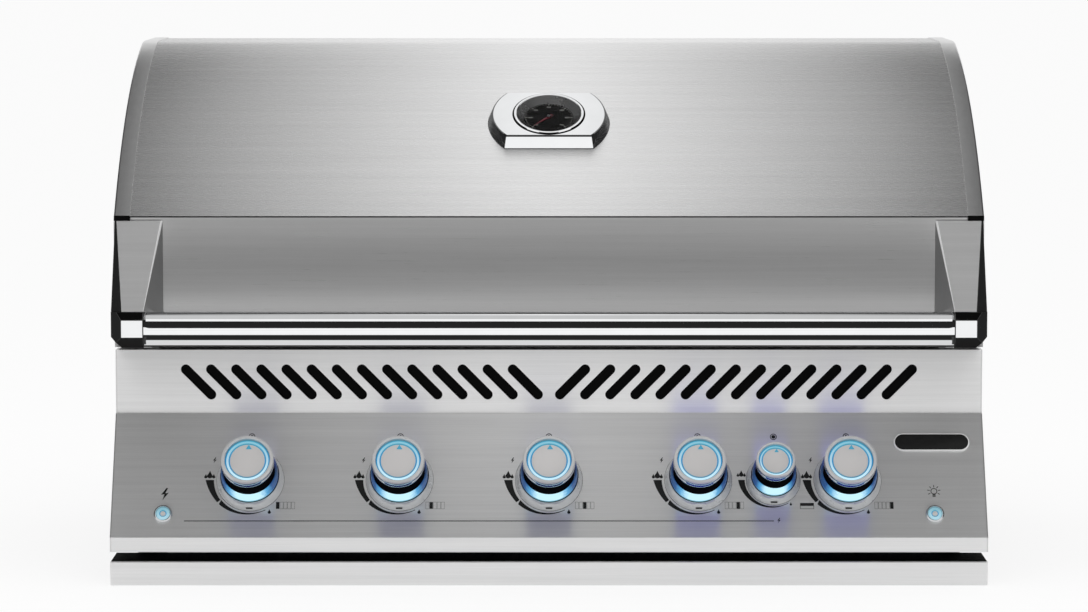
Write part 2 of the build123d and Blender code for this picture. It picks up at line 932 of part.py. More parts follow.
def handle_bracket():
    """The right wedge from the fold down to the end block."""
    rear = lid_front + front_panel_setback
    low_front = block_front + block_upper_bevel
    side_front = block_front + block_upper_bevel + bracket_side_reach
    low_outer = block_outer - block_outer_bevel
    top_front = lid_front - bracket_lip
    base = [
        (bracket_base_inner, rear),
        (handle_half, low_front),
        (low_outer, low_front),
        (block_outer, side_front),
        (block_outer, rear),
    ]
    top = [
        (bracket_base_inner, rear),
        (bracket_top_inner, top_front),
        (bracket_top_outer - bracket_lip, top_front),
        (bracket_top_outer, rear - bracket_lip),
        (bracket_top_outer, rear),
    ]
    low_face = Pos(0, 0, block_top) * Polygon(*base, align=None)
    top_face = Pos(0, 0, bracket_top) * Polygon(*top, align=None)
    return loft([low_face, top_face], ruled=True)


# Thermometer
def flatted(radius, flat, z):
    """A disc with two flats, one towards the front and one towards the back."""
    disc = Circle(radius) & Rectangle(2 * radius, 2 * flat)
    return Pos(0, 0, z) * disc


def gauge_plate():
    """The flared plate round the thermometer, cut to the lid's curve underneath."""
    flare = loft(
        [
            flatted(gauge_foot_radius, gauge_foot_flat, -gauge_plate_sink),
            flatted(gauge_plate_radius, gauge_flat, gauge_plate_height),
        ],
        ruled=True,
    )
    hole = Cylinder(gauge_ring_outer + seat_gap, 4 * gauge_plate_height)
    below = lid_solid(rim_sheet, gauge_foot_radius + overrun)
    return gauge_plane * (flare - hole) - below


def gauge_case():
    """The can with its bright ring, and the stem that reaches into the lid."""
    foot = -gauge_case_foot
    can = turned(
        [
            (0, foot),
            (gauge_ring_outer, foot),
            (gauge_ring_outer, gauge_ring_height),
            (gauge_ring_inner, gauge_ring_height),
            (gauge_ring_inner, gauge_glass_foot),
            (gauge_dial_radius, gauge_glass_foot),
            (gauge_dial_radius, foot + gauge_case_wall),
            (0, foot + gauge_case_wall),
        ]
    )
    can += Pos(0, 0, foot - gauge_stem_length / 2) * Cylinder(gauge_stem_radius, gauge_stem_length)
    post_top = gauge_dial_height - gauge_dial_sheet
    post_height = post_top - foot - gauge_case_wall
    post = Pos(0, 0, post_top - post_height / 2) * Cylinder(2 * gauge_hub_radius, post_height)
    return gauge_plane * (can + post)


def gauge_dial():
    """The dial plate, which stands on the case's post."""
    plate = Pos(0, 0, gauge_dial_height - gauge_dial_sheet / 2) * Cylinder(
        gauge_dial_radius, gauge_dial_sheet
    )
    arbor_top = gauge_dial_height + 2 * gauge_needle_gap + gauge_needle_sheet
    arbor = Pos(0, 0, (gauge_dial_height + arbor_top) / 2) * Cylinder(
        gauge_arbor_radius, arbor_top - gauge_dial_height
    )
    return gauge_plane * (plate + arbor)


def gauge_needle():
    """The needle, which turns on the arbor and points to the cold end at rest."""
    tail = gauge_hub_radius + gauge_needle_width
    blade = Polygon(
        (-tail, -gauge_needle_width / 2),
        (0, -gauge_needle_width / 2),
        (gauge_needle_length, 0),
        (0, gauge_needle_width / 2),
        (-tail, gauge_needle_width / 2),
        align=None,
    )
    flat = blade + Circle(gauge_hub_radius) - Circle(gauge_arbor_radius + turning_gap)
    solid = extrude(flat, gauge_needle_sheet, dir=(0, 0, 1))
    lift = Pos(0, 0, gauge_dial_height + gauge_needle_gap)
    return gauge_plane * lift * Rot(0, 0, gauge_rest_angle) * solid


def gauge_glass():
    """The glass disc that lies in the ring's rebate."""
    z = gauge_glass_foot + gauge_glass_sheet / 2
    return gauge_plane * Pos(0, 0, z) * Cylinder(gauge_ring_inner, gauge_glass_sheet)


# Knobs
def knob_places():
    """Each knob's name ending, its place along the panel and its radius."""
    places = [(str(n + 1), x, large_knob_radius) for n, x in enumerate(burner_xs)]
    return places + [("rear", small_knob_x, small_knob_radius)]


def on_panel(x, up):
    """The frame of a piece that stands on the sloping panel."""
    return panel_plane * Pos(x, up, 0)


def knob(x, radius):
    """A hollow knob with a grooved face and a pointer, on its stem's bore."""
    groove_inner = radius * face_groove_inner_share
    groove_outer = radius * face_groove_outer_share
    low_face = knob_height - knob_groove
    under_cap = knob_height - 2 * knob_wall
    bore = stem_radius + turning_gap
    shell = turned(
        [
            (0, knob_height),
            (groove_inner, knob_height),
            (groove_inner, low_face),
            (groove_outer, low_face),
            (groove_outer, knob_height),
            (radius - knob_edge, knob_height),
            (radius, knob_height - knob_edge),
            (radius, knob_cap_foot),
            (radius - knob_groove, knob_cap_foot),
            (radius - knob_groove, knob_cap_foot - knob_groove),
            (radius, knob_cap_foot - knob_groove),
            (radius, knob_foot),
            (radius - knob_wall, knob_foot),
            (radius - knob_wall, under_cap),
            (knob_boss_radius, under_cap),
            (knob_boss_radius, knob_boss_foot),
            (bore, knob_boss_foot),
            (bore, knob_bore_top),
            (0, knob_bore_top),
        ]
    )
    up = radius * pointer_up_share
    triangle = [(-pointer_width / 2, up), (pointer_width / 2, up), (0, up + pointer_height)]
    mark = upward(triangle, low_face, knob_height + overrun)
    return on_panel(x, knob_up_panel) * (shell - mark)


def valve_stem(x):
    """The stem between valve and knob, with the collar that the knob pushes on."""
    top = knob_bore_top - turning_gap - seat_gap
    collar_top = knob_boss_foot - sliding_gap
    stem = turned(
        [
            (0, -stem_depth),
            (stem_radius, -stem_depth),
            (stem_radius, collar_top - stem_collar_height),
            (stem_collar_radius, collar_top - stem_collar_height),
            (stem_collar_radius, collar_top),
            (stem_radius, collar_top),
            (stem_radius, top),
            (0, top),
        ]
    )
    return on_panel(x, knob_up_panel) * stem


def knob_bezel(x, radius):
    """The flared ring at the foot of a knob."""
    inner = radius + light_gap
    ring = turned(
        [
            (bezel_hole_radius, 0),
            (radius + bezel_spread, 0),
            (radius + bezel_spread, knob_edge),
            (radius + bezel_top_spread, bezel_height),
            (inner, bezel_height),
            (inner, bezel_floor),
            (bezel_hole_radius, bezel_floor),
        ]
    )
    return on_panel(x, knob_up_panel) * ring


def knob_light(x, radius):
    """The clear glowing ring that stands on the bezel round the knob's foot."""
    inner = radius + light_gap
    ring = turned(
        [
            (inner, bezel_height),
            (radius + light_foot_spread, bezel_height),
            (radius + light_top_spread, light_top),
            (inner, light_top),
        ]
    )
    return on_panel(x, knob_up_panel) * ring


# Gas pieces
def gas_valve(x, is_rear):
    """A valve block behind the panel, with its jet towards the burner's throat."""
    place = on_panel(x, knob_up_panel)
    neck_middle = (valve_middle + valve_mouth) / 2
    neck = place * Pos(0, 0, -neck_middle) * Cylinder(valve_neck_radius, valve_middle - valve_mouth)
    bore = place * Pos(0, 0, -valve_bore_depth / 2) * Cylinder(stem_radius + seat_gap, valve_bore_depth)
    body = block(
        (x - valve_width / 2, x + valve_width / 2),
        (valve_y - valve_tall / 2, valve_y + valve_tall / 2),
        (valve_z - valve_tall / 2 - valve_saddle, valve_z + valve_tall / 2),
    )
    saddle = rod(
        (x - valve_width, valve_y, manifold_z), (x + valve_width, valve_y, manifold_z), manifold_radius
    )
    solid = body + neck - bore - saddle
    if is_rear:
        return solid
    jet_end = firebox_front - burner_throat_reach - sliding_gap
    rise_y = valve_y + valve_tall / 2 + rise_gap
    corners = [
        (x, valve_y + valve_tall / 2 - overrun, valve_z),
        (x, rise_y, valve_z),
        (x, rise_y, burner_height),
        (x, jet_end, burner_height),
    ]
    for a, b in zip(corners, corners[1:]):
        solid += rod(a, b, jet_radius)
    return solid + [Pos(*corner) * Sphere(jet_elbow_radius) for corner in corners[1:-1]]


def gas_manifold():
    """The pipe that feeds the valves, closed at both ends."""
    ends = [(x, valve_y, manifold_z) for x in (-manifold_left, manifold_right)]
    inner = [
        (x, valve_y, manifold_z)
        for x in (-manifold_left + manifold_wall, manifold_right - manifold_wall)
    ]
    return rod(*ends, manifold_radius) - rod(*inner, manifold_radius - manifold_wall)


def gas_inlet():
    """The pipe from the manifold's right end to the threaded end behind the casing."""
    rear = casing_rear + inlet_hex_length
    pipe = rod((inlet_x, valve_y, manifold_z), (inlet_x, casing_rear, manifold_z), inlet_radius)
    pipe += rod((manifold_right, valve_y, manifold_z), (inlet_x, valve_y, manifold_z), inlet_radius)
    pipe += Pos(inlet_x, valve_y, manifold_z) * Sphere(inlet_elbow_radius)
    hex_plane = Plane(origin=(inlet_x, casing_rear, manifold_z), z_dir=(0, 1, 0))
    nut = extrude(hex_plane * RegularPolygon(inlet_hex / 2, 6, major_radius=False), inlet_hex_length)
    thread_end = rear + inlet_thread_length
    pipe += nut
    pipe += rod((inlet_x, rear, manifold_z), (inlet_x, thread_end, manifold_z), inlet_thread_radius)
    bore = rod(
        (inlet_x, valve_y + inlet_elbow_radius, manifold_z),
        (inlet_x, thread_end + overrun, manifold_z),
        inlet_radius - inlet_wall,
    )
    return pipe - bore


# Buttons
def button_housing(x):
    """The ring and barrel that guide a push button."""
    housing = turned(
        [
            (button_bore_radius, button_ring_height),
            (button_ring_radius - button_ring_edge, button_ring_height),
            (button_ring_radius, button_ring_height - button_ring_edge),
            (button_ring_radius, 0),
            (button_barrel_radius, 0),
            (button_barrel_radius, -button_barrel_depth),
            (0, -button_barrel_depth),
            (0, -button_barrel_depth + button_floor),
            (button_bore_radius, -button_barrel_depth + button_floor),
        ]
    )
    return on_panel(x, button_up_panel) * housing


def push_button(x):
    """A push button in its housing."""
    cap = turned(
        [
            (0, button_height),
            (button_radius - button_edge, button_height),
            (button_radius, button_height - button_edge),
            (button_radius, -button_depth),
            (0, -button_depth),
        ]
    )
    return on_panel(x, button_up_panel) * cap


def igniter_module():
    """The spark module, which sits on the back of the ignition button's housing."""
    module = Pos(0, 0, -button_barrel_depth - igniter_depth / 2) * Box(
        igniter_width, igniter_height, igniter_depth
    )
    return on_panel(-button_x, button_up_panel) * fillet(module.edges(), supply_edge)


def power_supply():
    """The supply of the knob lights, screwed to the casing's left side."""
    low_x = -casing_half + casing_sheet
    case = block(
        (low_x, low_x + supply_width),
        (supply_front, supply_front + supply_length),
        (supply_foot, supply_foot + supply_height),
    )
    return fillet(case.edges().group_by(Axis.X)[-1], supply_edge)


def plaque():
    """The blank oval plate on the panel: a rim round a lower field."""
    outer = SlotOverall(plaque_length, plaque_height)
    inner = SlotOverall(plaque_length - 2 * plaque_rim, plaque_height - 2 * plaque_rim)
    solid = extrude(outer, plaque_thickness)
    solid -= Pos(0, 0, plaque_thickness - plaque_floor) * extrude(inner, plaque_thickness)
    return on_panel(plaque_x, plaque_up_panel) * solid


# Drip tray
def tray_front():
    """The tray's front strip with its deck, a folded sheet with closed ends."""
    outline = [
        (tray_front_y + tray_return, tray_foot),
        (tray_front_y, tray_foot),
        (tray_front_y, tray_top),
        (tray_deck_rear, tray_top),
        (tray_deck_rear, tray_top - tray_rear_flange),
    ]
    half = fascia_half
    body = across(sheet(outline, -tray_sheet), half)
    end = across(
        [
            (tray_front_y, tray_foot),
            (tray_front_y, tray_top),
            (tray_deck_rear, tray_top),
            (tray_deck_rear, tray_foot + tray_sheet),
        ],
        half,
        half - tray_sheet,
    )
    return body + end + mirrored(end)


def drip_pan():
    """The pan behind the tray's front: a floor, upright walls and a rim on each side."""
    half = pan_width / 2
    front = tray_deck_rear
    t = pan_sheet
    body = block((-half, half), (front, pan_rear), (pan_foot, pan_top))
    body -= block((-half + t, half - t), (front + t, pan_rear - t), (pan_foot + t, pan_top + overrun))
    for side in (-1, 1):
        low, high = sorted((side * half, side * (half + pan_rim)))
        body += block((low, high), (front, pan_rear), (pan_top - t, pan_top))
    return body


def tray_rail():
    """The right rail, an angle on the casing's side under the pan's rim."""
    top = pan_top - pan_sheet - sliding_gap
    wall = casing_half - casing_sheet
    shelf = block((rail_inner, wall), (casing_front, pan_rear), (top - rail_sheet, top))
    leg = block((wall - rail_sheet, wall), (casing_front, pan_rear), (top - rail_sheet, top + rail_height))
    return shelf + leg


# All nodes
def single_pieces():
    """Every node that is made once."""
    return {
        "casing": casing(),
        "firebox": firebox(),
        "rear_hood": rear_hood(),
        "rear_burner": rear_burner(),
        "rear_burner_tile": rear_burner_tile(),
        "fascia": fascia(),
        "plaque": plaque(),
        "gas_manifold": gas_manifold(),
        "gas_inlet": gas_inlet(),
        "warming_rack": warming_rack(),
        "igniter_module": igniter_module(),
        "power_supply": power_supply(),
        "lid_skin": lid_skin(),
        "lid_front_panel": lid_front_panel(),
        "lid_liner": lid_liner(),
        "handle_tube": handle_tube(),
        "gauge_plate": gauge_plate(),
        "gauge_case": gauge_case(),
        "gauge_dial": gauge_dial(),
        "gauge_needle": gauge_needle(),
        "gauge_glass": gauge_glass(),
        "tray_front": tray_front(),
        "drip_pan": drip_pan(),
        "ignition_button": push_button(-button_x),
        "light_button": push_button(button_x),
    }


def paired_pieces():
    """Every node that is made for the right side and mirrored for the left."""
    return {
        "fascia_end": fascia_end(),
        "lid_side": lid_side(),
        "handle_end": handle_end(),
        "handle_bracket": handle_bracket(),
    }


def grouped_pieces():
    """Alike pieces that share one node."""
    places = knob_places()
    return {
        "knob_bezels": [knob_bezel(x, radius) for _, x, radius in places],
        "knob_lights": [knob_light(x, radius) for _, x, radius in places],
        "gas_valves": [gas_valve(x, name == "rear") for name, x, _ in places],
        "sear_plates": [sear_plate(x) for x in burner_xs],
        "button_housings": [button_housing(x) for x in (-button_x, button_x)],
        "tray_rails": [tray_rail(), mirrored(tray_rail())],
        "hinge_brackets": [hinge_bracket(), mirrored(hinge_bracket())],
    }


def knob_name(name):
    """The node name of a knob."""
    return "rear_knob" if name == "rear" else f"knob_{name}"


def stem_name(name):
    """The node name of a valve stem."""
    return "rear_valve_stem" if name == "rear" else f"valve_stem_{name}"


def main():
    """Builds and writes every node."""
    os.makedirs("parts", exist_ok=True)
    for name, solid in single_pieces().items():
        write(name, solid)
    for name, solid in paired_pieces().items():
        write(f"{name}_right", solid)
        write(f"{name}_left", mirrored(solid))
    for name, solids in grouped_pieces().items():
        write(name, Compound([s for solid in solids for s in solid.solids()]))
    for n, x in enumerate(burner_xs):
        write(f"burner_{n + 1}", burner(x))
    for name, place in (("left", -1), ("middle", 0), ("right", 1)):
        write(f"cooking_grid_{name}", cooking_grid(place))
    for name, x, radius in knob_places():
        write(knob_name(name), knob(x, radius))
        write(stem_name(name), valve_stem(x))
    print("origin_y", round(origin_y, 3))
    print("hinge", hinge_y - origin_y, hinge_z)
    print("gauge", gauge_plane.origin.Y - origin_y, gauge_plane.origin.Z)


main()
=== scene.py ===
# %% [markdown]
# # A built-in gas grill
# The construction of this grill comes from CAD: every sheet, burner, hinge and knob has its real size and
# place. This script dresses it. It keeps the flat folded sheets, gives every piece a finish, and makes anew
# what catches the eye: the curved lid, the bright handle, the thermometer, the knobs and the printed signs.
# Polished parts are made anew because CAD hands over loose triangles, which mirror their surroundings in
# facets. A mesh with shared corners can be shaded smooth.

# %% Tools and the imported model
import json
from math import acos, atan2, cos, hypot, pi, radians, sin

import bmesh
import bpy
from mathutils import Matrix, Vector


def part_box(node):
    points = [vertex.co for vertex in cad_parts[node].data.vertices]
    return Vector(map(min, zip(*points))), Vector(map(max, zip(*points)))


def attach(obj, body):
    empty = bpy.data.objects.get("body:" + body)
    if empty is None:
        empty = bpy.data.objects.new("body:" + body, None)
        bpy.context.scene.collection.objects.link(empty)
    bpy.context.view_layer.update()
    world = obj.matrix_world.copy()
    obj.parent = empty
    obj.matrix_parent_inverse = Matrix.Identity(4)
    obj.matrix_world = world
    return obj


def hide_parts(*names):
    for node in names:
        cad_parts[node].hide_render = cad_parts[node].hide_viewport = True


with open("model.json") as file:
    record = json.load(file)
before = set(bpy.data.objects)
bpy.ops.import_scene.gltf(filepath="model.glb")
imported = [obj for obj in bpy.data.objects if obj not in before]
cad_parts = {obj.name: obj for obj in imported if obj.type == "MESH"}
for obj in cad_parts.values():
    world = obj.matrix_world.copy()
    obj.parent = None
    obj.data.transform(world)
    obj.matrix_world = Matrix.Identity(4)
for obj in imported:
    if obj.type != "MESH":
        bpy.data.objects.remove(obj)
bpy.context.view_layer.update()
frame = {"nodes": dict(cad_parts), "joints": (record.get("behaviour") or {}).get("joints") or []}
nodes = frame["nodes"]
joints = {joint["name"]: joint for joint in frame["joints"]}
MM = 0.001

# %% [markdown]
# ## Helpers that make a mesh
# Nearly all new pieces start in one of three ways. A round piece is half a section, turned round an axis by
# the spin operator. A bent sheet is its side outline, drawn out along the grill. A flat sign is one face that
# gets a hair of thickness. All sizes are written in millimetres, and a matrix then stands the piece on the
# face of the grill that carries it.


# %% Outlines, spins and prisms
def chain(bm, points, closed=False):
    """A line of edges through points that are given in millimetres."""
    verts = [bm.verts.new(Vector(point) * MM) for point in points]
    edges = [bm.edges.new(pair) for pair in zip(verts, verts[1:])]
    if closed:
        edges.append(bm.edges.new((verts[-1], verts[0])))
    return verts, edges


def turned(outline, closed=False, steps=96):
    """A (radius, height) outline, turned round Z."""
    bm = bmesh.new()
    verts, edges = chain(bm, [(radius, 0, height) for radius, height in outline], closed)
    bmesh.ops.spin(
        bm, geom=verts + edges, axis=(0, 0, 1), cent=(0, 0, 0), angle=2 * pi, steps=steps, use_merge=True
    )
    return bm


def rectangle(low, high):
    """The four corners between two opposite ones."""
    return [low, (high[0], low[1]), high, (low[0], high[1])]


def draw_out(bm, grown, shift):
    """Moves the corners that an extrusion has just made."""
    moved = [part for part in grown["geom"] if isinstance(part, bmesh.types.BMVert)]
    bmesh.ops.translate(bm, vec=Vector(shift) * MM, verts=moved)


def prism(points, shift):
    """A solid between a flat outline and the same outline, shifted."""
    bm = bmesh.new()
    verts, _ = chain(bm, points, closed=True)
    draw_out(bm, bmesh.ops.extrude_face_region(bm, geom=[bm.faces.new(verts)]), shift)
    return bm


def across(outline, low, high):
    """A prism between two places on X, from its (Y, Z) outline."""
    return prism([(low, y, z) for y, z in outline], (high - low, 0, 0))


def soften(bm, width, segments=2, angle=25):
    """Rounds every edge that turns by more than an angle, as a press or a polishing wheel does."""
    bmesh.ops.recalc_face_normals(bm, faces=bm.faces)
    sharp = [edge for edge in bm.edges if edge.is_manifold and edge.calc_face_angle() > radians(angle)]
    bmesh.ops.bevel(
        bm, geom=sharp, offset=width * MM, segments=segments, affect="EDGES", profile=0.5, material=-1
    )
    return bm


def arc_points(centre, radius, start, end, steps):
    """Points on an arc from one angle to another."""
    angles = [start + (end - start) * n / steps for n in range(steps + 1)]
    return [(centre[0] + radius * cos(a), centre[1] + radius * sin(a)) for a in angles]


# %% Finishing a piece
def stand_on(place, outward):
    """The matrix that stands a piece with its Z along a direction, and its X along the grill."""
    outward = outward.normalized()
    right = Vector((1, 0, 0))
    turn = Matrix((right, outward.cross(right), outward)).transposed()
    return Matrix.Translation(place) @ turn.to_4x4()


def scene_object(name, bm, finish):
    """Makes a bmesh an object of the scene, with one finish."""
    mesh = bpy.data.meshes.new(name)
    bm.to_mesh(mesh)
    bm.free()
    mesh.materials.append(finish)
    made = bpy.data.objects.new(name, mesh)
    bpy.context.scene.collection.objects.link(made)
    return made


def piece(name, bm, body, finish, place=None, stands_for=(), crease=32):
    """Welds a mesh, puts it in its place, gives it its finish and lets it ride on a body."""
    bmesh.ops.remove_doubles(bm, verts=bm.verts, dist=0.002 * MM)
    bmesh.ops.recalc_face_normals(bm, faces=bm.faces)
    # A lit piece gets a glow attribute from 0 on its upper side to 1 on its lower side: its finish uses it to
    # paint light and shade by side, on top of a real glow.
    if finish.name.endswith("_light"):
        glow = bm.verts.layers.float.new("glow")
        for vert in bm.verts:
            vert[glow] = 0.5 - 0.5 * vert.co.y / max(vert.co.xy.length, MM)
    if place is not None:
        bmesh.ops.transform(bm, matrix=place, verts=bm.verts)
        if place.determinant() < 0:
            bmesh.ops.reverse_faces(bm, faces=bm.faces)
    made = scene_object(name, bm, finish)
    made.data.shade_smooth()
    made.data.set_sharp_from_angle(angle=radians(crease))
    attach(made, body)
    if stands_for:
        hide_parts(*stands_for)
    return made


# %% [markdown]
# ## Finishes
# A finish is a small node tree round one Principled shader. Brushed steel gets its look from two things.
# Long thin streaks of noise, stretched along the brushing, vary the tone, the roughness and a very fine
# bump. And the shader's anisotropy smears reflections square to the brushing, which is why a lamp over a
# brushed lid shows as an upright bright band. The brushing here runs along the width of the grill, so one
# noise in object space serves every sheet that is bent along that axis.


# %% Node helpers
def blank_finish(name, **sockets):
    """A material with one Principled shader, some of whose sockets are set."""
    made = bpy.data.materials.new(name)
    made.use_nodes = True
    shader = made.node_tree.nodes["Principled BSDF"]
    for socket, value in sockets.items():
        shader.inputs[socket.replace("_", " ")].default_value = value
    return made, made.node_tree, shader


def feed(tree, shader, **sockets):
    """Links outputs to the sockets of a shader."""
    for socket, output in sockets.items():
        tree.links.new(output, shader.inputs[socket.replace("_", " ")])


def add(tree, kind, inputs=None, **options):
    """Adds a node. An input is a value, or a socket to link from."""
    made = tree.nodes.new("ShaderNode" + kind)
    for option, value in options.items():
        setattr(made, option, value)
    for name, value in (inputs or {}).items():
        if isinstance(value, bpy.types.NodeSocket):
            tree.links.new(value, made.inputs[name])
        else:
            made.inputs[name].default_value = value
    return made


def noise(tree, scale, detail=3.0, grain=0.6):
    """Noise in object space, stretched by a scale along each axis. Its value lies round a half."""
    coords = add(tree, "TexCoord").outputs["Object"]
    stretched = add(tree, "Mapping", {"Vector": coords, "Scale": scale}).outputs[0]
    return add(
        tree, "TexNoise", {"Vector": stretched, "Scale": 1.0, "Detail": detail, "Roughness": grain}
    ).outputs[0]


def ranged(tree, value, low, high, at_low=0.3, at_high=0.7):
    """A value mapped from its usual range to a new one."""
    inputs = {"Value": value, "From Min": at_low, "From Max": at_high, "To Min": low, "To Max": high}
    return add(tree, "MapRange", inputs).outputs["Result"]


def shades(tree, value, *stops):
    """A colour that a value picks from a row of (value, colour) stops."""
    ramp = add(tree, "ValToRGB", {"Fac": value})
    row = ramp.color_ramp.elements
    while len(row) < len(stops):
        row.new(0.5)
    for element, (place, colour) in zip(row, stops):
        element.position = place
        element.color = (*colour, 1)
    return ramp.outputs["Color"]


def cloudy(tree, shader, cloud, colour, roughness, spread, wander):
    """Lets a noise vary the colour and the roughness a little."""
    ends = [tuple(channel * (1 + way * spread) for channel in colour) for way in (-1, 1)]
    tone = shades(tree, cloud, (0.3, ends[0]), (0.7, ends[1]))
    rough = ranged(tree, cloud, roughness * (1 - wander), roughness * (1 + wander))
    feed(tree, shader, Base_Color=tone, Roughness=rough)


def grey(tone, warmth=0.0):
    """A nearly neutral colour, a little warmer or cooler."""
    return (tone * (1 + warmth), tone, tone * (1 - warmth))


# %% Brushed and plain steel
def brushed_steel(name, tone, roughness=0.36, along=0, smear=0.85, contrast=0.05, metal=1.0, lean=0.0):
    """Stainless steel, brushed along one axis. A lean tilts its shading only, by that tangent."""
    made, tree, shader = blank_finish(name, Metallic=metal, Anisotropic=smear, Anisotropic_Rotation=0.25)
    hair = [1100.0, 1100.0, 1100.0]
    hair[along] = 9.0
    band = [170.0, 170.0, 170.0]
    band[along] = 2.5
    fine = noise(tree, hair, detail=4.0, grain=0.7)
    wide = noise(tree, band)
    both = add(tree, "Math", {0: fine, 1: wide}, operation="ADD").outputs[0]
    mixed = ranged(tree, both, 0.0, 1.0, 0.7, 1.3)
    colour = shades(tree, mixed, (0.0, grey(tone * (1 - contrast))), (1.0, grey(tone * (1 + contrast))))
    rough = ranged(tree, fine, roughness * 0.9, roughness * 1.1)
    height = add(tree, "Math", {0: fine, 1: 0.006 * MM}, operation="MULTIPLY").outputs[0]
    if lean:
        up = add(tree, "SeparateXYZ", {0: add(tree, "TexCoord").outputs["Object"]}).outputs["Z"]
        height = add(tree, "Math", {0: up, 1: lean, 2: height}, operation="MULTIPLY_ADD").outputs[0]
    bump = add(tree, "Bump", {"Height": height, "Strength": 1.0, "Distance": 1.0}).outputs[0]
    direction = add(tree, "CombineXYZ", {along: 1.0}).outputs[0]
    feed(tree, shader, Base_Color=colour, Roughness=rough, Normal=bump, Tangent=direction)
    return made


def plain_metal(name, colour, roughness, spread=0.1, scale=40.0, metal=1.0):
    """Mill-finished or plated metal with faint cloudy marks."""
    made, tree, shader = blank_finish(name, Metallic=metal)
    cloudy(tree, shader, noise(tree, (scale, scale, scale)), colour, roughness, spread, 0.2)
    return made


# The front and wedge side steels are darker than steel is, a painted shade, the bevel steel is near black, a
# painted dark reflection, and the front leans in its shading alone.
# Their faces mirror something dark in the photograph, where this studio has nothing dark in the right place.
skin_steel = brushed_steel("lid_brushed_steel", 0.9, roughness=0.27)
front_painted_shade_steel = brushed_steel("lid_front_painted_shade_steel", 0.5, roughness=0.3, lean=0.13)
bracket_steel = brushed_steel("bracket_brushed_steel", 0.6, metal=0.6)
# The wedge side steel is the bracket steel darkened: a painted shade on the wedges' inner sides.
wedge_side_painted_shade = brushed_steel("wedge_side_painted_shade", 0.2, metal=0.6)
painted_dark_bevel = brushed_steel("bevel_painted_dark_reflection", 0.05, metal=0.8)
fascia_steel = brushed_steel("fascia_brushed_steel", 0.8, metal=0.82)
side_steel = brushed_steel("side_brushed_steel", 0.66, along=1)
mill_steel = plain_metal("mill_steel", grey(0.5), 0.36)
grid_steel = plain_metal("grid_steel", grey(0.55), 0.24, scale=90.0)
chrome = plain_metal("polished_chrome", grey(0.9, -0.01), 0.035, spread=0.015)
satin = plain_metal("satin_face", (0.56, 0.545, 0.54), 0.45, spread=0.01, metal=0.2)
satin_rim = plain_metal("satin_rim", grey(0.55, -0.01), 0.35, spread=0.01, metal=0.3)
satin_bezel = plain_metal("satin_bezel", grey(0.55, -0.02), 0.3, spread=0.01, metal=0.35)
dim_chrome = plain_metal("dim_chrome", grey(0.62, -0.02), 0.14, spread=0.02)
# This pale finish is the plaque's real silver rim, and a painted highlight on the small facets along the
# wedges' inner edges.
silver_rim_and_painted_highlight = plain_metal("silver_rim_and_painted_highlight", grey(0.78), 0.4, spread=0.01, metal=0.2)
pan_metal = plain_metal("pressed_aluminium", grey(0.7, -0.01), 0.4)
brass = plain_metal("turned_brass", (0.72, 0.55, 0.26), 0.28)
print("finishes", len(bpy.data.materials))


# %% [markdown]
# ## Dark, coloured and glowing finishes
# Black enamel and moulded plastic are dielectrics: a dark base under a clear reflection, with a little
# orange peel or grain in the bump. The rings round the knobs glow, so their shader emits as well. An
# attribute of their mesh runs from 0 at a ring's upper side to 1 at its lower side, where it is painted
# brightest.


# %% Enamel, plastic and light
def painted(name, colour, roughness, peel=0.02, scale=260.0, coat=0.0, gloss=0.5):
    """A dense paint or enamel with a faint orange peel."""
    made, tree, shader = blank_finish(name, Coat_Weight=coat, Coat_Roughness=0.05, Specular_IOR_Level=gloss)
    cloud = noise(tree, (scale, scale, scale), detail=2.0)
    cloudy(tree, shader, cloud, colour, roughness, 0.15, 0.15)
    bump = add(tree, "Bump", {"Height": cloud, "Strength": peel * 5, "Distance": 0.1 * MM}).outputs[0]
    feed(tree, shader, Normal=bump)
    return made


def glowing(name, *stops):
    """A clear plastic that is lit from behind. Its glow attribute picks the colour, so that one side is
    painted brighter than the other.
    """
    made, tree, shader = blank_finish(
        name, Roughness=0.25, Emission_Strength=1.0, Specular_IOR_Level=0.15, Base_Color=(0.02, 0.06, 0.1, 1)
    )
    lowness = add(tree, "Attribute", attribute_name="glow").outputs["Fac"]
    grain = ranged(tree, noise(tree, (300.0, 300.0, 300.0), detail=1.0), -0.012, 0.012)
    mixed = add(tree, "Math", {0: lowness, 1: grain}, operation="ADD").outputs[0]
    feed(tree, shader, Emission_Color=shades(tree, mixed, *stops))
    return made


black_enamel = painted("black_enamel", (0.012, 0.012, 0.014), 0.12, coat=0.4)
dial_black = painted("dial_black", (0.004, 0.004, 0.004), 0.6, gloss=0.05)
cone_black = plain_metal("cone_black", grey(0.1), 0.3, spread=0.05)
dark_steel = painted("firebox_enamel", (0.02, 0.02, 0.02), 0.5)
black_plastic = painted("black_plastic", (0.02, 0.02, 0.022), 0.45, peel=0.05)
# The shadow black is painted shade, put in gaps, grooves and behind slots where shade falls.
painted_shadow_black = painted("shadow_black", (0.002, 0.002, 0.002), 0.7, gloss=0.05)
barrel_black = painted("knob_barrel_black", (0.003, 0.003, 0.004), 0.6, gloss=0.0)
print_black = painted("printed_black", (0.01, 0.01, 0.01), 0.45, gloss=0.2)
print_white = painted("printed_white", (0.42, 0.42, 0.4), 0.5)
needle_red = painted("needle_red", (0.16, 0.006, 0.02), 0.45)
tile_clay = painted("fired_clay", (0.72, 0.64, 0.52), 0.8, peel=0.1)
# Most glowing finishes below paint their lower side brighter than their upper side: painted light on a real
# glow.
ring_light = glowing(
    "ring_light", (0.0, (0.05, 0.05, 0.25)), (0.5, (0.004, 0.008, 0.04)), (0.78, (0.01, 0.045, 0.18)),
    (0.88, (0.08, 0.34, 0.62)), (0.96, (0.6, 0.9, 1.0)),
)
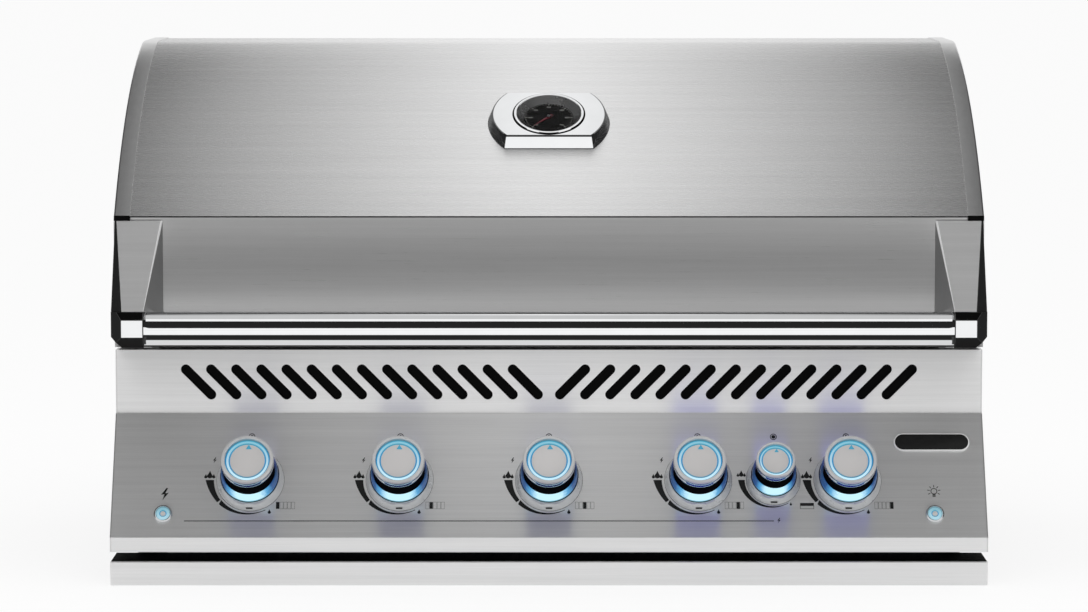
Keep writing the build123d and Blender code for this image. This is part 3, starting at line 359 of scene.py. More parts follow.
# The foot's glow is dimmer, a painted shade where the ring meets the bezel.
foot_light = glowing(
    "foot_light", (0.0, (0.05, 0.05, 0.3)), (0.7, (0.02, 0.08, 0.25)), (1.0, (0.2, 0.42, 0.5))
)
zone_light = glowing(
    "zone_light", (0.0, (0.22, 0.5, 0.6)), (0.5, (0.42, 0.6, 0.68)), (1.0, (0.58, 0.84, 0.95))
)
line_light = glowing(
    "line_light", (0.0, (0.05, 0.28, 0.4)), (0.5, (0.01, 0.2, 0.44)), (1.0, (0.08, 0.24, 0.34))
)
button_light = glowing("button_light", (0.0, (0.22, 0.42, 0.48)), (1.0, (0.4, 0.62, 0.7)))
dial_glass, _, _ = blank_finish("dial_glass", Transmission_Weight=1.0, Roughness=0.0, IOR=1.06)
print("finishes", len(bpy.data.materials))

# %% [markdown]
# ## The sheets that stay as CAD made them
# Flat faces need no new mesh, so the fascia, the tray, the casing and all that lies inside only get a
# finish. A table in words says which finish belongs to which node.

# %% Finishes of the kept nodes
kept = {
    fascia_steel: "fascia",
    front_painted_shade_steel: "lid_front_panel",
    side_steel: "fascia_end_left fascia_end_right",
    mill_steel: """casing rear_hood rear_burner lid_liner hinge_brackets tray_rails gas_manifold gas_inlet
        burner_1 burner_2 burner_3 burner_4 burner_5 sear_plates valve_stem_1 valve_stem_2 valve_stem_3
        valve_stem_4 valve_stem_5 rear_valve_stem""",
    grid_steel: "cooking_grid_left cooking_grid_middle cooking_grid_right warming_rack",
    dark_steel: "firebox",
    pan_metal: "drip_pan",
    brass: "gas_valves",
    tile_clay: "rear_burner_tile",
    black_plastic: "igniter_module power_supply",
    needle_red: "gauge_needle",
    dial_glass: "gauge_glass",
}
for finish, names in kept.items():
    for name in names.split():
        nodes[name].data.materials.clear()
        nodes[name].data.materials.append(finish)
print("kept nodes", sum(len(names.split()) for names in kept.values()))

# %% [markdown]
# ## Two black sheets
# Through the slots of the front one sees nothing but black, and so does one above the tray. A thin black
# sheet behind the slots and a black deck on the tray are painted shade there, and keep stray light of the
# room away.

# %% Painted shade behind the slots and on the tray
tray_low, tray_high = (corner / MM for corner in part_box("tray_front"))
band_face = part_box("casing")[0].y / MM - 2
screen_gap, screen_foot, screen_half = 0.4, 190, 450
screen_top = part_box("fascia")[1].z / MM - 7
deck_gap, deck_sheet = 0.2, 0.5
slot_shade_sheet = across(
    rectangle((band_face + screen_gap, screen_foot), (band_face + screen_gap + 1, screen_top)),
    -screen_half, screen_half,
)
deck_foot = tray_high.z + deck_gap
tray_shade_sheet = across(
    rectangle((tray_low.y + 3, deck_foot), (tray_high.y, deck_foot + deck_sheet)),
    tray_low.x + 1, tray_high.x - 1,
)
panel = across(rectangle(tray_low.yz, tray_high.yz), tray_low.x, tray_high.x)
soften(panel, 1.2, segments=3)
piece("tray_panel", panel, "tray", fascia_steel, stands_for=["tray_front"], crease=12)
piece("slot_painted_shade", slot_shade_sheet, "grill_body", painted_shadow_black)
piece("tray_painted_shade", tray_shade_sheet, "tray", painted_shadow_black)
print("slot screen at", round(band_face, 1), "tray deck at", round(tray_high.z, 1))

# %% [markdown]
# ## Screws and spot welds
# The casing is folded from sheet and joined by spot welds along its corners. Screws with a six-sided head
# hold the fascia's ends, the back and the hinge brackets. A weld is a shallow dimple, a screw a washer with
# a prism on it. Both are small turned shapes that are stamped many times into one mesh.


# %% Fasteners
weld_dimple = [(3.2, 0.02), (2.8, 0.25), (2.3, 0.3), (1.8, 0.1), (0, 0.06)]
washer = [(5.4, 0), (5.4, 0.5), (4.8, 0.8), (0, 0.8)]
screw_head = [(3.4, 0.8), (3.4, 2.2), (2.8, 2.6), (0, 2.6)]


def stamp(bm, outline, place, steps=20):
    """Adds a small turned shape to a mesh, standing on a place."""
    made = turned(outline, steps=steps)
    bmesh.ops.transform(made, matrix=place, verts=made.verts)
    mesh = bpy.data.meshes.new("stamp")
    made.to_mesh(mesh)
    made.free()
    bm.from_mesh(mesh)
    bpy.data.meshes.remove(mesh)


def facing(spot, outward):
    """A place in millimetres, whose Z looks outward."""
    turn = Vector((0, 0, 1)).rotation_difference(Vector(outward)).to_matrix().to_4x4()
    return Matrix.Translation(Vector(spot) * MM) @ turn


def add_screw(spot, outward):
    """Adds a washer and a six-sided head to the screws."""
    place = facing(spot, outward)
    stamp(screws, washer, place)
    stamp(screws, screw_head, place, steps=6)


def spaced(low, high, count):
    """Even steps from low to high."""
    return [low + (high - low) * n / (count - 1) for n in range(count)]


case_wall, case_front, case_rear, case_top = 460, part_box("casing")[0].y / MM, 296.67, 223.5
weld_inset, bracket_wall, bracket_middle, bracket_level = 9, 473.8, 211.67, 241
screw_inset, back_screw_x, flange_middle, bracket_reach = 28, 300, 18, 10
welds, screws = bmesh.new(), bmesh.new()
for side in (-1, 1):
    wall, outward = side * case_wall, (side, 0, 0)
    for z in spaced(30, 200, 7):
        for spot, way in (
            ((wall, case_front + weld_inset, z), outward),
            ((wall, case_rear - weld_inset, z), outward),
            ((wall - side * weld_inset, case_rear, z), (0, 1, 0)),
        ):
            stamp(welds, weld_dimple, facing(spot, way))
    for y in spaced(case_front + 60, case_rear - 60, 8):
        stamp(welds, weld_dimple, facing((wall, y, weld_inset), outward))
    for z in (60, 180):
        add_screw((wall, case_front + screw_inset, z), outward)
        add_screw((side * back_screw_x, case_rear, z), (0, 1, 0))
    for y in (bracket_middle - bracket_reach, bracket_middle + bracket_reach):
        add_screw((side * bracket_wall, y, bracket_level), outward)
for x in spaced(-400, 400, 11):
    stamp(welds, weld_dimple, facing((x, case_rear, weld_inset), (0, 1, 0)))
for x in spaced(-380, 380, 5):
    add_screw((x, case_rear + flange_middle, case_top), (0, 0, 1))
piece("casing_welds", welds, "grill_body", mill_steel, crease=50)
piece("casing_screws", screws, "grill_body", satin_rim, crease=30)
print("casing front", round(case_front, 1), "rear", case_rear)

# %% [markdown]
# ## The lid
# Seen from the side, the lid is an upright front, a fold, a long shallow curve, a rounder shoulder, a flat
# top and a round rear corner. The curve has to start on the fold and run smoothly into the shoulder, so its
# centre follows from where two circles cross: one round the fold, one round the shoulder's own centre. The
# skin is that outline drawn out across the grill, in short steps so that it is mirrored smoothly.

# %% The lid's outline
lid_low, lid_high = (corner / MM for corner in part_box("lid_side_right"))
lid_front, lid_rear, lid_foot, lid_top = lid_low.y, lid_high.y, lid_low.z, lid_high.z
rear_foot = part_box("lid_skin")[0].z / MM
fold_height = lid_foot + 146
crown_radius = 650
shoulder_radius = 150
shoulder_reach = 361.1
rear_corner = 30
rim_width = 18
rim_sheet = 1

shoulder = (lid_front + shoulder_reach, lid_top - shoulder_radius)
far = hypot(shoulder_reach, shoulder[1] - fold_height)
along = (far**2 + 2 * crown_radius * shoulder_radius - shoulder_radius**2) / (2 * far)
lean = acos(along / crown_radius) - atan2(shoulder[1] - fold_height, shoulder_reach)
crown = (lid_front + crown_radius * cos(lean), fold_height - crown_radius * sin(lean))
crown_end = atan2(shoulder[1] - crown[1], shoulder[0] - crown[0])


def lid_curve(inset):
    """The side outline from the fold to the foot of the back, moved inwards by a distance."""
    front = lid_front + inset
    radius = crown_radius - inset
    rise = (radius**2 - (crown[0] - front) ** 2) ** 0.5
    start = atan2(rise, front - crown[0])
    corner = (lid_rear - rear_corner, lid_top - rear_corner)
    points = arc_points(crown, radius, start, crown_end, 48)
    points += arc_points(shoulder, shoulder_radius - inset, crown_end, pi / 2, 16)[1:]
    points += arc_points(corner, rear_corner - inset, pi / 2, 0, 10)
    return points + [(lid_rear - inset, rear_foot)]


print("lid outline", len(lid_curve(0)), "points, lean", round(lean, 4))

# %% The curved skin
skin_sheet = 1.2
side_sheet = 1.2
lid_half = lid_high.x
skin_half = lid_half - side_sheet
outer = lid_curve(rim_sheet)
hem = [(outer[0][0] + 9, outer[0][1] - skin_sheet), (outer[0][0], outer[0][1] - skin_sheet)]
inner = lid_curve(rim_sheet + skin_sheet)
skin = across(hem + outer + inner[:0:-1], -skin_half, skin_half)
piece("lid_skin_sheet", skin, "lid", skin_steel, stands_for=["lid_skin"])

# A black strip under the fold is painted shadow in the joint between the skin and the front panel.
fold_shadow_low, fold_shadow_high = outer[0][1] - skin_sheet - 0.4, outer[0][1] - 0.1
fold_shadow_outline = rectangle((outer[0][0] - 0.3, fold_shadow_low), (outer[0][0] + 3, fold_shadow_high))
piece("fold_painted_shadow", across(fold_shadow_outline, -skin_half, skin_half), "lid", painted_shadow_black)

# %% [markdown]
# ## The lid's ends
# Each end is a flat panel whose upper edge is folded over the skin as a narrow rim. The panel is one face.
# Its curved edges are drawn inwards for the rim, the fold gets a radius, and a thickness turns both into a
# sheet.


# %% End panels with their rims
def lid_end(side):
    """The end panel and its rim on one side."""
    bm = bmesh.new()
    hinge = Vector(joints["lid_hinge"]["pos_m"]) / MM
    lug = hinge.z - lid_foot
    curve = lid_curve(0)
    foot = arc_points((hinge.y, hinge.z), lug, 0, -pi / 2, 10)
    outline = curve + foot + [(lid_front, lid_foot)]
    verts, edges = chain(bm, [(side * lid_half, y, z) for y, z in outline], closed=True)
    bm.faces.new(verts)
    upper = edges[: len(curve) - 1]
    draw_out(bm, bmesh.ops.extrude_edge_only(bm, edges=upper), (-side * rim_width, 0, 0))
    corner = [edge for edge in upper if edge.is_valid]
    bmesh.ops.bevel(bm, geom=corner, offset=2.2 * MM, segments=3, affect="EDGES", profile=0.5, material=-1)
    bmesh.ops.recalc_face_normals(bm, faces=bm.faces)
    flat = max(bm.faces, key=lambda face: face.calc_area())
    if flat.normal.x * side < 0:
        bmesh.ops.reverse_faces(bm, faces=bm.faces)
    bmesh.ops.solidify(bm, geom=bm.faces, thickness=rim_sheet * MM)
    return bm


for side, name in ((-1, "left"), (1, "right")):
    piece(
        f"lid_end_{name}", lid_end(side), "lid", side_steel,
        stands_for=[f"lid_side_{name}"], crease=40,
    )

# %% [markdown]
# ## The handle
# A thick bright tube runs between two faceted blocks, and a wedge of brushed steel leads from each block up
# to the fold. The blocks are prisms with two corners cut off. Every edge gets a small radius, because a
# polished edge without one shows no light.

# %% The tube
tube_low, tube_high = (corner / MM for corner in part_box("handle_tube"))
handle_y = (tube_low.y + tube_high.y) / 2
handle_z = (tube_low.z + tube_high.z) / 2
handle_radius = (tube_high.z - tube_low.z) / 2
handle_half = tube_high.x
wall = 2
bore, lip_width = handle_radius - wall, wall / 4
half_section = [
    (bore, -handle_half), (handle_radius - lip_width, -handle_half), (handle_radius, lip_width - handle_half),
]
mirrored = [(radius, -height) for radius, height in reversed(half_section)]
tube = turned(half_section + mirrored, closed=True, steps=128)
lay_down = Matrix.Translation(Vector((0, handle_y, handle_z)) * MM) @ Matrix.Rotation(pi / 2, 4, "Y")
piece("handle_bar", tube, "lid", chrome, place=lay_down, stands_for=["handle_tube"])

# %% Blocks and wedges
block_low, block_high = (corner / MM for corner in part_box("handle_end_right"))
block_outer, block_front, block_rear = block_high.x, block_low.y, block_high.y
block_foot, block_top = block_low.z, block_high.z
upper_bevel = 7
lower_bevel = 12
side_reach = 8
bracket_low, bracket_high = (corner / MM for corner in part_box("handle_bracket_right"))


def handle_block():
    """The faceted block on the right."""
    outline = [
        (block_rear, block_foot), (block_front + lower_bevel, block_foot),
        (block_front, block_foot + lower_bevel), (block_front, block_top - upper_bevel - 1.5),
        (block_front + upper_bevel - 1, block_top), (block_rear, block_top),
    ]
    bm = across(outline, handle_half, block_outer)
    corner = Vector((block_outer, block_front, block_foot))
    for normal in (Vector((1, -1, 0)), Vector((1, 0, -1))):
        cut = bmesh.ops.bisect_plane(
            bm, geom=bm.verts[:] + bm.edges[:] + bm.faces[:], clear_outer=True, plane_no=normal,
            plane_co=(corner - normal * lower_bevel / 2) * MM,
        )
        rim = [part for part in cut["geom_cut"] if isinstance(part, bmesh.types.BMEdge)]
        bmesh.ops.contextual_create(bm, geom=rim)
    return soften(bm, 0.5)


def handle_wedge():
    """The wedge between the fold and the block on the right."""
    low_front = block_front + upper_bevel
    low = [
        (bracket_low.x, block_rear), (handle_half, low_front), (block_outer - lower_bevel, low_front),
        (block_outer, low_front + side_reach), (block_outer, block_rear),
    ]
    top_front = lid_front - 2
    high = [
        (bracket_low.x, block_rear), (bracket_low.x + 1.7, top_front), (bracket_high.x - 1.6, top_front),
        (bracket_high.x, block_rear - 2.4), (bracket_high.x, block_rear),
    ]
    bm = bmesh.new()
    for x, y in low:
        bm.verts.new(Vector((x, y, block_top)) * MM)
    for x, y in high:
        bm.verts.new(Vector((x, y, bracket_high.z - 3.4)) * MM)
    bm.verts.new(Vector((bracket_low.x, block_rear, block_top - 8)) * MM)
    bmesh.ops.convex_hull(bm, input=bm.verts)
    bmesh.ops.dissolve_limit(bm, angle_limit=radians(1), verts=bm.verts, edges=bm.edges)
    return soften(bm, 0.35, segments=1, angle=8)


def rim_stop():
    """A black block of painted shadow that closes the folded rim above the wedge on the right."""
    foot = bracket_high.z - 3.5
    outline = rectangle((lid_front - 2.2, foot), (lid_front - 0.2, fold_height + 0.2))
    return soften(across(outline, lid_half - rim_width, lid_half - 0.3), 0.3)


for side, name in ((1, "right"), (-1, "left")):
    flip = Matrix.Scale(side, 4, (1, 0, 0))
    block = piece(
        f"handle_block_{name}", handle_block(), "lid", chrome, place=flip,
        stands_for=[f"handle_end_{name}"], crease=8,
    )
    # The block's inner end, its lower bevels and its small rounded facets get the near black bevel steel, a
    # painted dark reflection and shade.
    block.data.materials.append(painted_dark_bevel)
    for face in block.data.polygons:
        if face.normal.x * side < -0.2 or -0.95 < face.normal.z < -0.3 or face.area < 3e-5:
            face.material_index = 1
    wedge = piece(
        f"handle_wedge_{name}", handle_wedge(), "lid", bracket_steel, place=flip,
        stands_for=[f"handle_bracket_{name}"], crease=8,
    )
    # The wedge's outer side gets the near black bevel steel, a painted dark reflection. Its inner side gets a
    # darker steel, a painted shade, and the small facets along its inner edge get a pale finish, a painted
    # highlight.
    for finish in (painted_dark_bevel, wedge_side_painted_shade, silver_rim_and_painted_highlight):
        wedge.data.materials.append(finish)
    for face in wedge.data.polygons:
        sideways = face.normal.x * side
        if sideways > 0.12:
            face.material_index = 1
        elif sideways < -0.12:
            face.material_index = 2 if face.area > 2e-4 else 3
    piece(f"rim_stop_{name}", rim_stop(), "lid", painted_shadow_black, place=flip)
print("handle radius", round(handle_radius, 2), "half length", round(handle_half, 1))

# %% [markdown]
# ## The thermometer
# A bright flared plate with two flats stands on the lid's curve. In its middle sits a can with a bright
# ring, a dark cone and a dial with generic figures. The plate's outlines are circles whose front and back are
# cut off flat. One band of faces runs from each to the next, over the rounded edge, to the hole and back to
# the foot, so the plate is closed all round and its faces know which side is out.

# %% Plate, ring and cone
gauge_place = Vector(joints["needle_turn"]["pos_m"])
gauge_stand = stand_on(gauge_place, -Vector(joints["needle_turn"]["axis"]))
plate_radius, plate_flat, plate_height = 64.2, 43, 11.5
foot_radius, foot_flat, foot_depth = 69.5, 48.5, 2
shade_ring_outer, ring_outer, ring_inner, ring_height = 41.3, 39.8, 36.4, 12.9
dial_radius, dial_height = 28, 6.2


def flatted_loop(radius, flat, height, arc_steps=40, flat_steps=16):
    """The points of a circle whose front and back are cut off flat, with corners on both ends of a flat."""
    open_angle = acos(flat / radius)
    side = arc_points((0, 0), 1, open_angle - pi / 2, pi / 2 - open_angle, arc_steps)[:-1]
    back = arc_points((0, 0), 1, pi / 2 - open_angle, pi / 2 + open_angle, flat_steps)[:-1]
    half = []
    for x, y in side + back:
        reach = min(radius, flat / max(abs(y), MM))
        half.append((x * reach, y * reach))
    return [(x, y, height) for x, y in half + [(-x, -y) for x, y in half]]


def gauge_plate():
    """The flared plate with its rounded edge and its round hole. The front of that edge is painted dark, a
    painted reflection.
    """
    rims = [
        (foot_radius, foot_flat, -foot_depth),
        (plate_radius + 0.6, plate_flat + 0.6, plate_height - 1.4),
        (plate_radius, plate_flat, plate_height - 0.4),
        (plate_radius - 1.3, plate_flat - 1.3, plate_height),
    ]
    outlines = [flatted_loop(*rim) for rim in rims]
    shares = [shade_ring_outer / hypot(x, y) for x, y, _ in outlines[-1]]
    for height in (plate_height, 0):
        outlines.append([(x * share, y * share, height) for (x, y, _), share in zip(outlines[3], shares)])
    bm = bmesh.new()
    loops = [chain(bm, points, closed=True)[0] for points in outlines]
    for row, (first, second) in enumerate(zip(loops, loops[1:] + loops[:1])):
        for n in range(len(first)):
            face = bm.faces.new((first[n - 1], first[n], second[n], second[n - 1]))
            if row in (1, 2) and face.calc_center_median().y < (4 - plate_flat) * MM:
                face.material_index = 1
    return bm


ring_outline = [
    (ring_outer, 0), (ring_outer, ring_height - 0.5), (ring_outer - 0.5, ring_height),
    (ring_inner + 0.5, ring_height), (ring_inner, ring_height - 0.5), (ring_inner, 0),
]
ring = turned(ring_outline, closed=True, steps=128)
cone = turned([
    (ring_inner, 12.5), (ring_inner - 0.6, 12.5), (dial_radius + 0.6, dial_height + 0.4),
    (dial_radius, dial_height),
])
# A black ring in the groove round the bright ring is painted shade.
shade_ring_foot, shade_ring_top = plate_height - 3, plate_height + 0.3
shade_ring = turned(
    [
        (shade_ring_outer - 0.1, shade_ring_foot), (shade_ring_outer - 0.1, shade_ring_top),
        (ring_outer, shade_ring_top), (ring_outer, shade_ring_foot),
    ],
    steps=128,
)
dial = turned([(dial_radius, dial_height), (0, dial_height)])
flare = piece("gauge_flare", gauge_plate(), "lid", chrome, gauge_stand, ["gauge_plate"], crease=12)
# The front of the plate's rounded edge gets the near black bevel steel, a painted dark reflection.
flare.data.materials.append(painted_dark_bevel)
piece("gauge_bright_ring", ring, "lid", chrome, gauge_stand, ["gauge_case"], crease=20)
piece("gauge_painted_shade_ring", shade_ring, "lid", painted_shadow_black, gauge_stand)
piece("gauge_cone", cone, "lid", cone_black, gauge_stand, ["gauge_dial"], crease=12)
piece("gauge_face", dial, "lid", dial_black, gauge_stand)
print("gauge at", [round(value, 4) for value in gauge_place])

# %% [markdown]
# ## The dial's marks
# Ticks are thin bars, and the figures are text turned into a mesh. Text starts as a curve, so it is made a
# mesh first and then set in its place. One helper welds all the marks of a dial into one piece.


# %% Marks
def bar(bm, length, width, height, place):
    """A flat bar along X."""
    made = bmesh.ops.create_cube(bm, size=1.0)["verts"]
    bmesh.ops.scale(bm, vec=(length * MM, width * MM, height * MM), verts=made)
    bmesh.ops.transform(bm, matrix=place, verts=made)
    return made


def figures(bm, words, size, place):
    """Generic figures as a thin mesh, centred on a place."""
    curve = bpy.data.curves.new("figures", "FONT")
    curve.body = words
    curve.size = size * MM
    curve.extrude = 0.04 * MM
    curve.align_x = "CENTER"
    curve.align_y = "CENTER"
    holder = bpy.data.objects.new("figures", curve)
    mesh = bpy.data.meshes.new_from_object(holder)
    mesh.transform(place)
    bm.from_mesh(mesh)
    bpy.data.objects.remove(holder)
    bpy.data.curves.remove(curve)
    bpy.data.meshes.remove(mesh)


def dial_marks():
    """Ticks and figures from 100 to 700, with the low end at the lower left."""
    bm = bmesh.new()
    first, sweep, count = radians(225), radians(-270), 36
    tick_inset, figure_inset, figure_size = 0.8, 7.2, 3.4
    for n in range(count + 1):
        angle = first + sweep * n / count
        outward = Vector((cos(angle), sin(angle), 0))
        rise = Vector((0, 0, dial_height + 0.05))
        long = n % 6 == 0
        length = 2.8 if long else 1.6
        spot = Matrix.Translation((outward * (dial_radius - tick_inset - length / 2) + rise) * MM)
        bar(bm, length, 0.7 if long else 0.4, 0.08, spot @ Matrix.Rotation(angle, 4, "Z"))
        if long:
            spot = Matrix.Translation((outward * (dial_radius - figure_inset) + rise) * MM)
            figures(bm, str(100 + 100 * (n // 6)), figure_size, spot)
    return bm


piece("dial_marks", dial_marks(), "lid", print_white, gauge_stand)
pin = turned([
    (0, dial_height + 3), (2.2, dial_height + 3), (2.5, dial_height + 2.2), (2.5, dial_height + 1.9),
])
piece("needle_hub", pin, "needle", black_enamel, gauge_stand)

# %% [markdown]
# ## The knobs
# Each knob is a stack of turned pieces: a black barrel, a bright cap with a rounded rim, a pale glowing band
# between two thin lines, a satin disc, and a glowing pointer. Below it a clear ring glows on a flared bezel.
# The same functions make the large and the small ones, because only the radius differs.

# %% Knob parts
knob_height, cap_foot, knob_foot = 58, 46, 19
large_radius, small_radius = 28.8, 21.6
bezel_height, light_top = 13, 29
face_level = knob_height - 4.2
disc_share, inner_line, outer_line, rim_share = 0.66, 0.69, 0.825, 0.862


def knob_rim(radius):
    """The rim round the sunk face, with rounded edges."""
    wall, top = radius * rim_share, knob_height
    return turned([
        (wall, face_level - 0.6), (wall, top - 0.5), (wall + 0.5, top), (radius - 1.8, top),
        (radius - 0.8, top - 0.4), (radius - 0.2, top - 1.2), (radius, top - 2.2),
    ])


def knob_side(radius):
    """The bright side of the cap, with a fine groove."""
    groove, foot = radius - 0.35, cap_foot
    return turned([
        (radius, knob_height - 2.2), (radius, foot + 5.6), (groove, foot + 5.2), (groove, foot + 4.6),
        (radius, foot + 4.2), (radius, foot + 0.5), (radius - 0.5, foot), (radius - 2.5, foot),
    ])


def knob_barrel(radius):
    """The black barrel under the cap."""
    outer, inner = radius - 0.6, radius - 3
    return turned([
        (outer, cap_foot), (outer, knob_foot + 1), (outer - 0.6, knob_foot), (inner, knob_foot),
        (inner, cap_foot),
    ])


def face_disc(radius):
    """The satin disc in the middle of the face."""
    disc, level = radius * disc_share, face_level
    return turned([(disc, level - 0.6), (disc, level - 0.2), (disc - 0.5, level), (0, level)])


def face_zone(radius):
    """The pale glowing band between the two lines."""
    low, high = radius * inner_line, radius * outer_line
    return turned([(low, face_level - 0.2), (high, face_level - 0.2)])


def face_lines(radius):
    """Two thin raised lines that glow, on both sides of the pale band."""
    bm = bmesh.new()
    for middle in (radius * inner_line, radius * outer_line):
        section = ((-0.85, -0.6), (-0.65, 0.0), (0.65, 0.0), (0.85, -0.6))
        stamp(bm, [(middle + x, face_level + z) for x, z in section], Matrix(), steps=96)
    return bm


def pointer(radius):
    """The triangle at the top of the face: a small solid prism."""
    size, foot, middle = radius / large_radius, radius * 0.475, 1.2
    corners = [(middle - 3.2 * size, foot), (middle + 3.2 * size, foot), (middle, foot + 5.2 * size)]
    return prism([(x, y, face_level) for x, y in corners], (0, 0, 0.4 * size))


def bezel(radius):
    """The flared ring that stands on the panel."""
    foot, top, inner = radius + 8.4, bezel_height, radius + 3.6
    outline = [
        (foot, 0), (foot, 0.8), (foot - 0.4, 1.5), (radius + 4.9, top - 0.6), (radius + 4.4, top),
        (radius + 3.8, top), (inner, top - 0.6), (inner, 0),
    ]
    return turned(outline, steps=128)


def bezel_mark(radius):
    """The short dark dash at the front of the bezel."""
    bm = bmesh.new()
    (low_y, low_z), (high_y, high_z), half = (-radius - 7.7, 4.2), (-radius - 7.0, 6.6), 3.6
    points = [(-half, low_y, low_z), (half, low_y, low_z), (half, high_y, high_z), (-half, high_y, high_z)]
    verts, _ = chain(bm, points, closed=True)
    bmesh.ops.solidify(bm, geom=[bm.faces.new(verts)], thickness=0.2 * MM)
    return bm


def light_gasket(radius):
    """Painted shade: a black ring in the joint between the glowing ring and the bezel, and a thin one under
    the bezel.
    """
    bm = bmesh.new()
    low, high, foot, top = radius + 2.6, radius + 3.7, bezel_height - 2, bezel_height + 0.2
    stamp(bm, [(low, foot), (low, top), (high, top), (high, foot)], Matrix(), steps=96)
    stamp(bm, [(radius + 8.3, 0.3), (radius + 8.65, 0.3), (radius + 8.65, 0)], Matrix(), steps=96)
    return bm


def light_ring(radius):
    """The clear glowing ring round the knob's foot."""
    inner = radius + 0.6
    outline = [
        (radius + 2.9, bezel_height + 2.6), (radius + 2.3, light_top - 2.0), (radius + 1.4, light_top),
        (inner, light_top), (inner, bezel_height - 0.4),
    ]
    return turned(outline, steps=128)


def light_foot(radius):
    """The foot of the ring, a real glow that is dimmer: a painted shade where the ring meets the bezel."""
    foot = bezel_height - 0.4
    return turned([(radius + 0.6, foot), (radius + 2.8, foot), (radius + 2.9, foot + 3)], steps=128)


# %% Six knobs
knob_nodes = {str(number): f"knob_{number}" for number in range(1, 6)} | {"rear": "rear_knob"}
knob_radii = {key: small_radius if key == "rear" else large_radius for key in knob_nodes}
knob_stands = {}
bezels, rings = [], []
for key, node in knob_nodes.items():
    joint = joints[f"knob_turn_{key}"]
    stand = stand_on(Vector(joint["pos_m"]), Vector(joint["axis"]))
    radius, body, base = knob_radii[key], f"knob_{key}", "grill_body"
    knob_stands[key] = stand
    piece(f"cap_{key}", knob_side(radius), body, dim_chrome, stand, [node], crease=50)
    piece(f"rim_{key}", knob_rim(radius), body, satin_rim, stand)
    piece(f"barrel_{key}", knob_barrel(radius), body, barrel_black, stand)
    piece(f"face_{key}", face_disc(radius), body, satin, stand)
    piece(f"face_zone_{key}", face_zone(radius), body, zone_light, stand)
    piece(f"face_lines_{key}", face_lines(radius), body, line_light, stand)
    piece(f"pointer_{key}", pointer(radius), body, line_light, stand)
    bezels.append(piece(f"bezel_{key}", bezel(radius), base, satin_bezel, stand))
    piece(f"bezel_mark_{key}", bezel_mark(radius), base, print_black, stand)
    piece(f"knob_painted_shade_{key}", light_gasket(radius), base, painted_shadow_black, stand)
    piece(f"glow_foot_{key}", light_foot(radius), base, foot_light, stand)
    rings.append(piece(f"glow_{key}", light_ring(radius), base, ring_light, stand))
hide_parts("knob_bezels")
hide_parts("knob_lights")
print("knobs", len(knob_stands))

# %% [markdown]
# ## Buttons and plaque
# The two push buttons are clear blue caps in bright rings, sunk in the middle, where a darker line runs round
# a satin face. Each part is one turned outline. The plaque is left blank: a bright rim round a black field.

# %% Buttons
panel_stand = knob_stands["3"]
knob_up = 68.8
button_up = 27.6
button_x = 425
housing_outline = [(7.8, -2), (7.8, 3.4), (8.3, 4.0), (9.3, 3.8), (10.1, 2.8), (10.4, 1.4), (10.4, 0)]
cap_outline = [(3.9, 2.4), (4.3, 3.2), (5.8, 3.6), (7.0, 3.0), (7.3, 2.0), (7.3, -8)]
groove_outline = [(3.1, 2.2), (3.1, 2.5), (3.95, 2.5)]
face_outline = [(0, 2.9), (2.6, 2.7), (3.1, 2.2)]


def on_panel(x, up):
    """The matrix of a place on the sloping panel, counted from its foot and its middle."""
    return panel_stand @ Matrix.Translation(Vector((x, up - knob_up, 0)) * MM)


for side, name in ((-1, "ignition"), (1, "light")):
    stand = on_panel(side * button_x, button_up)
    body = f"{name}_button"
    housing = turned(housing_outline)
    ring = piece(f"{name}_button_ring", housing, "grill_body", dim_chrome, stand, crease=50)
    if side < 0:
        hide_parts("button_housings")
    piece(f"{name}_button_cap", turned(cap_outline), body, button_light, stand, [body])
    piece(f"{name}_button_line", turned(groove_outline), body, line_light, stand)
    piece(f"{name}_button_face", turned(face_outline), body, satin, stand)


# %% Plaque
def stadium(length, height, z, steps=16):
    """A closed loop with round ends."""
    run = (length - height) / 2
    right = [(x + run, y, z) for x, y in arc_points((0, 0), height / 2, -pi / 2, pi / 2, steps)]
    return right + [(-x, -y, z) for x, y, _ in right]


def stadium_plate(length, height, low, high):
    """A plate with round ends."""
    return soften(prism(stadium(length, height, low), (0, 0, high - low)), 0.4, angle=40)


plaque_stand = on_panel(424.6, 113.6)
for name, plate, finish, stands_for in (
    ("plaque_rim", stadium_plate(84, 21, 0, 2.4), silver_rim_and_painted_highlight, ["plaque"]),
    ("plaque_field", stadium_plate(81.4, 18.4, 2.2, 2.9), print_black, ()),
):
    piece(name, plate, "grill_body", finish, plaque_stand, stands_for)

# %% [markdown]
# ## Printed signs
# The panel carries generic signs in black: a crescent round each knob from high to low flame, small flames,
# bolts, a bar that says which burner the knob turns, a ring with a dot for off, and one long line. A
# crescent is an edge, spun by part of a turn, whose outer corners are then drawn in. Each sign gets a hair
# of thickness.


# %% Drawing signs
def flat_face(bm, points, place=Vector((0, 0))):
    """A filled shape from points in the plane of the panel."""
    verts, _ = chain(bm, [(x + place[0], y + place[1], 0) for x, y in points], closed=True)
    bm.faces.new(verts)


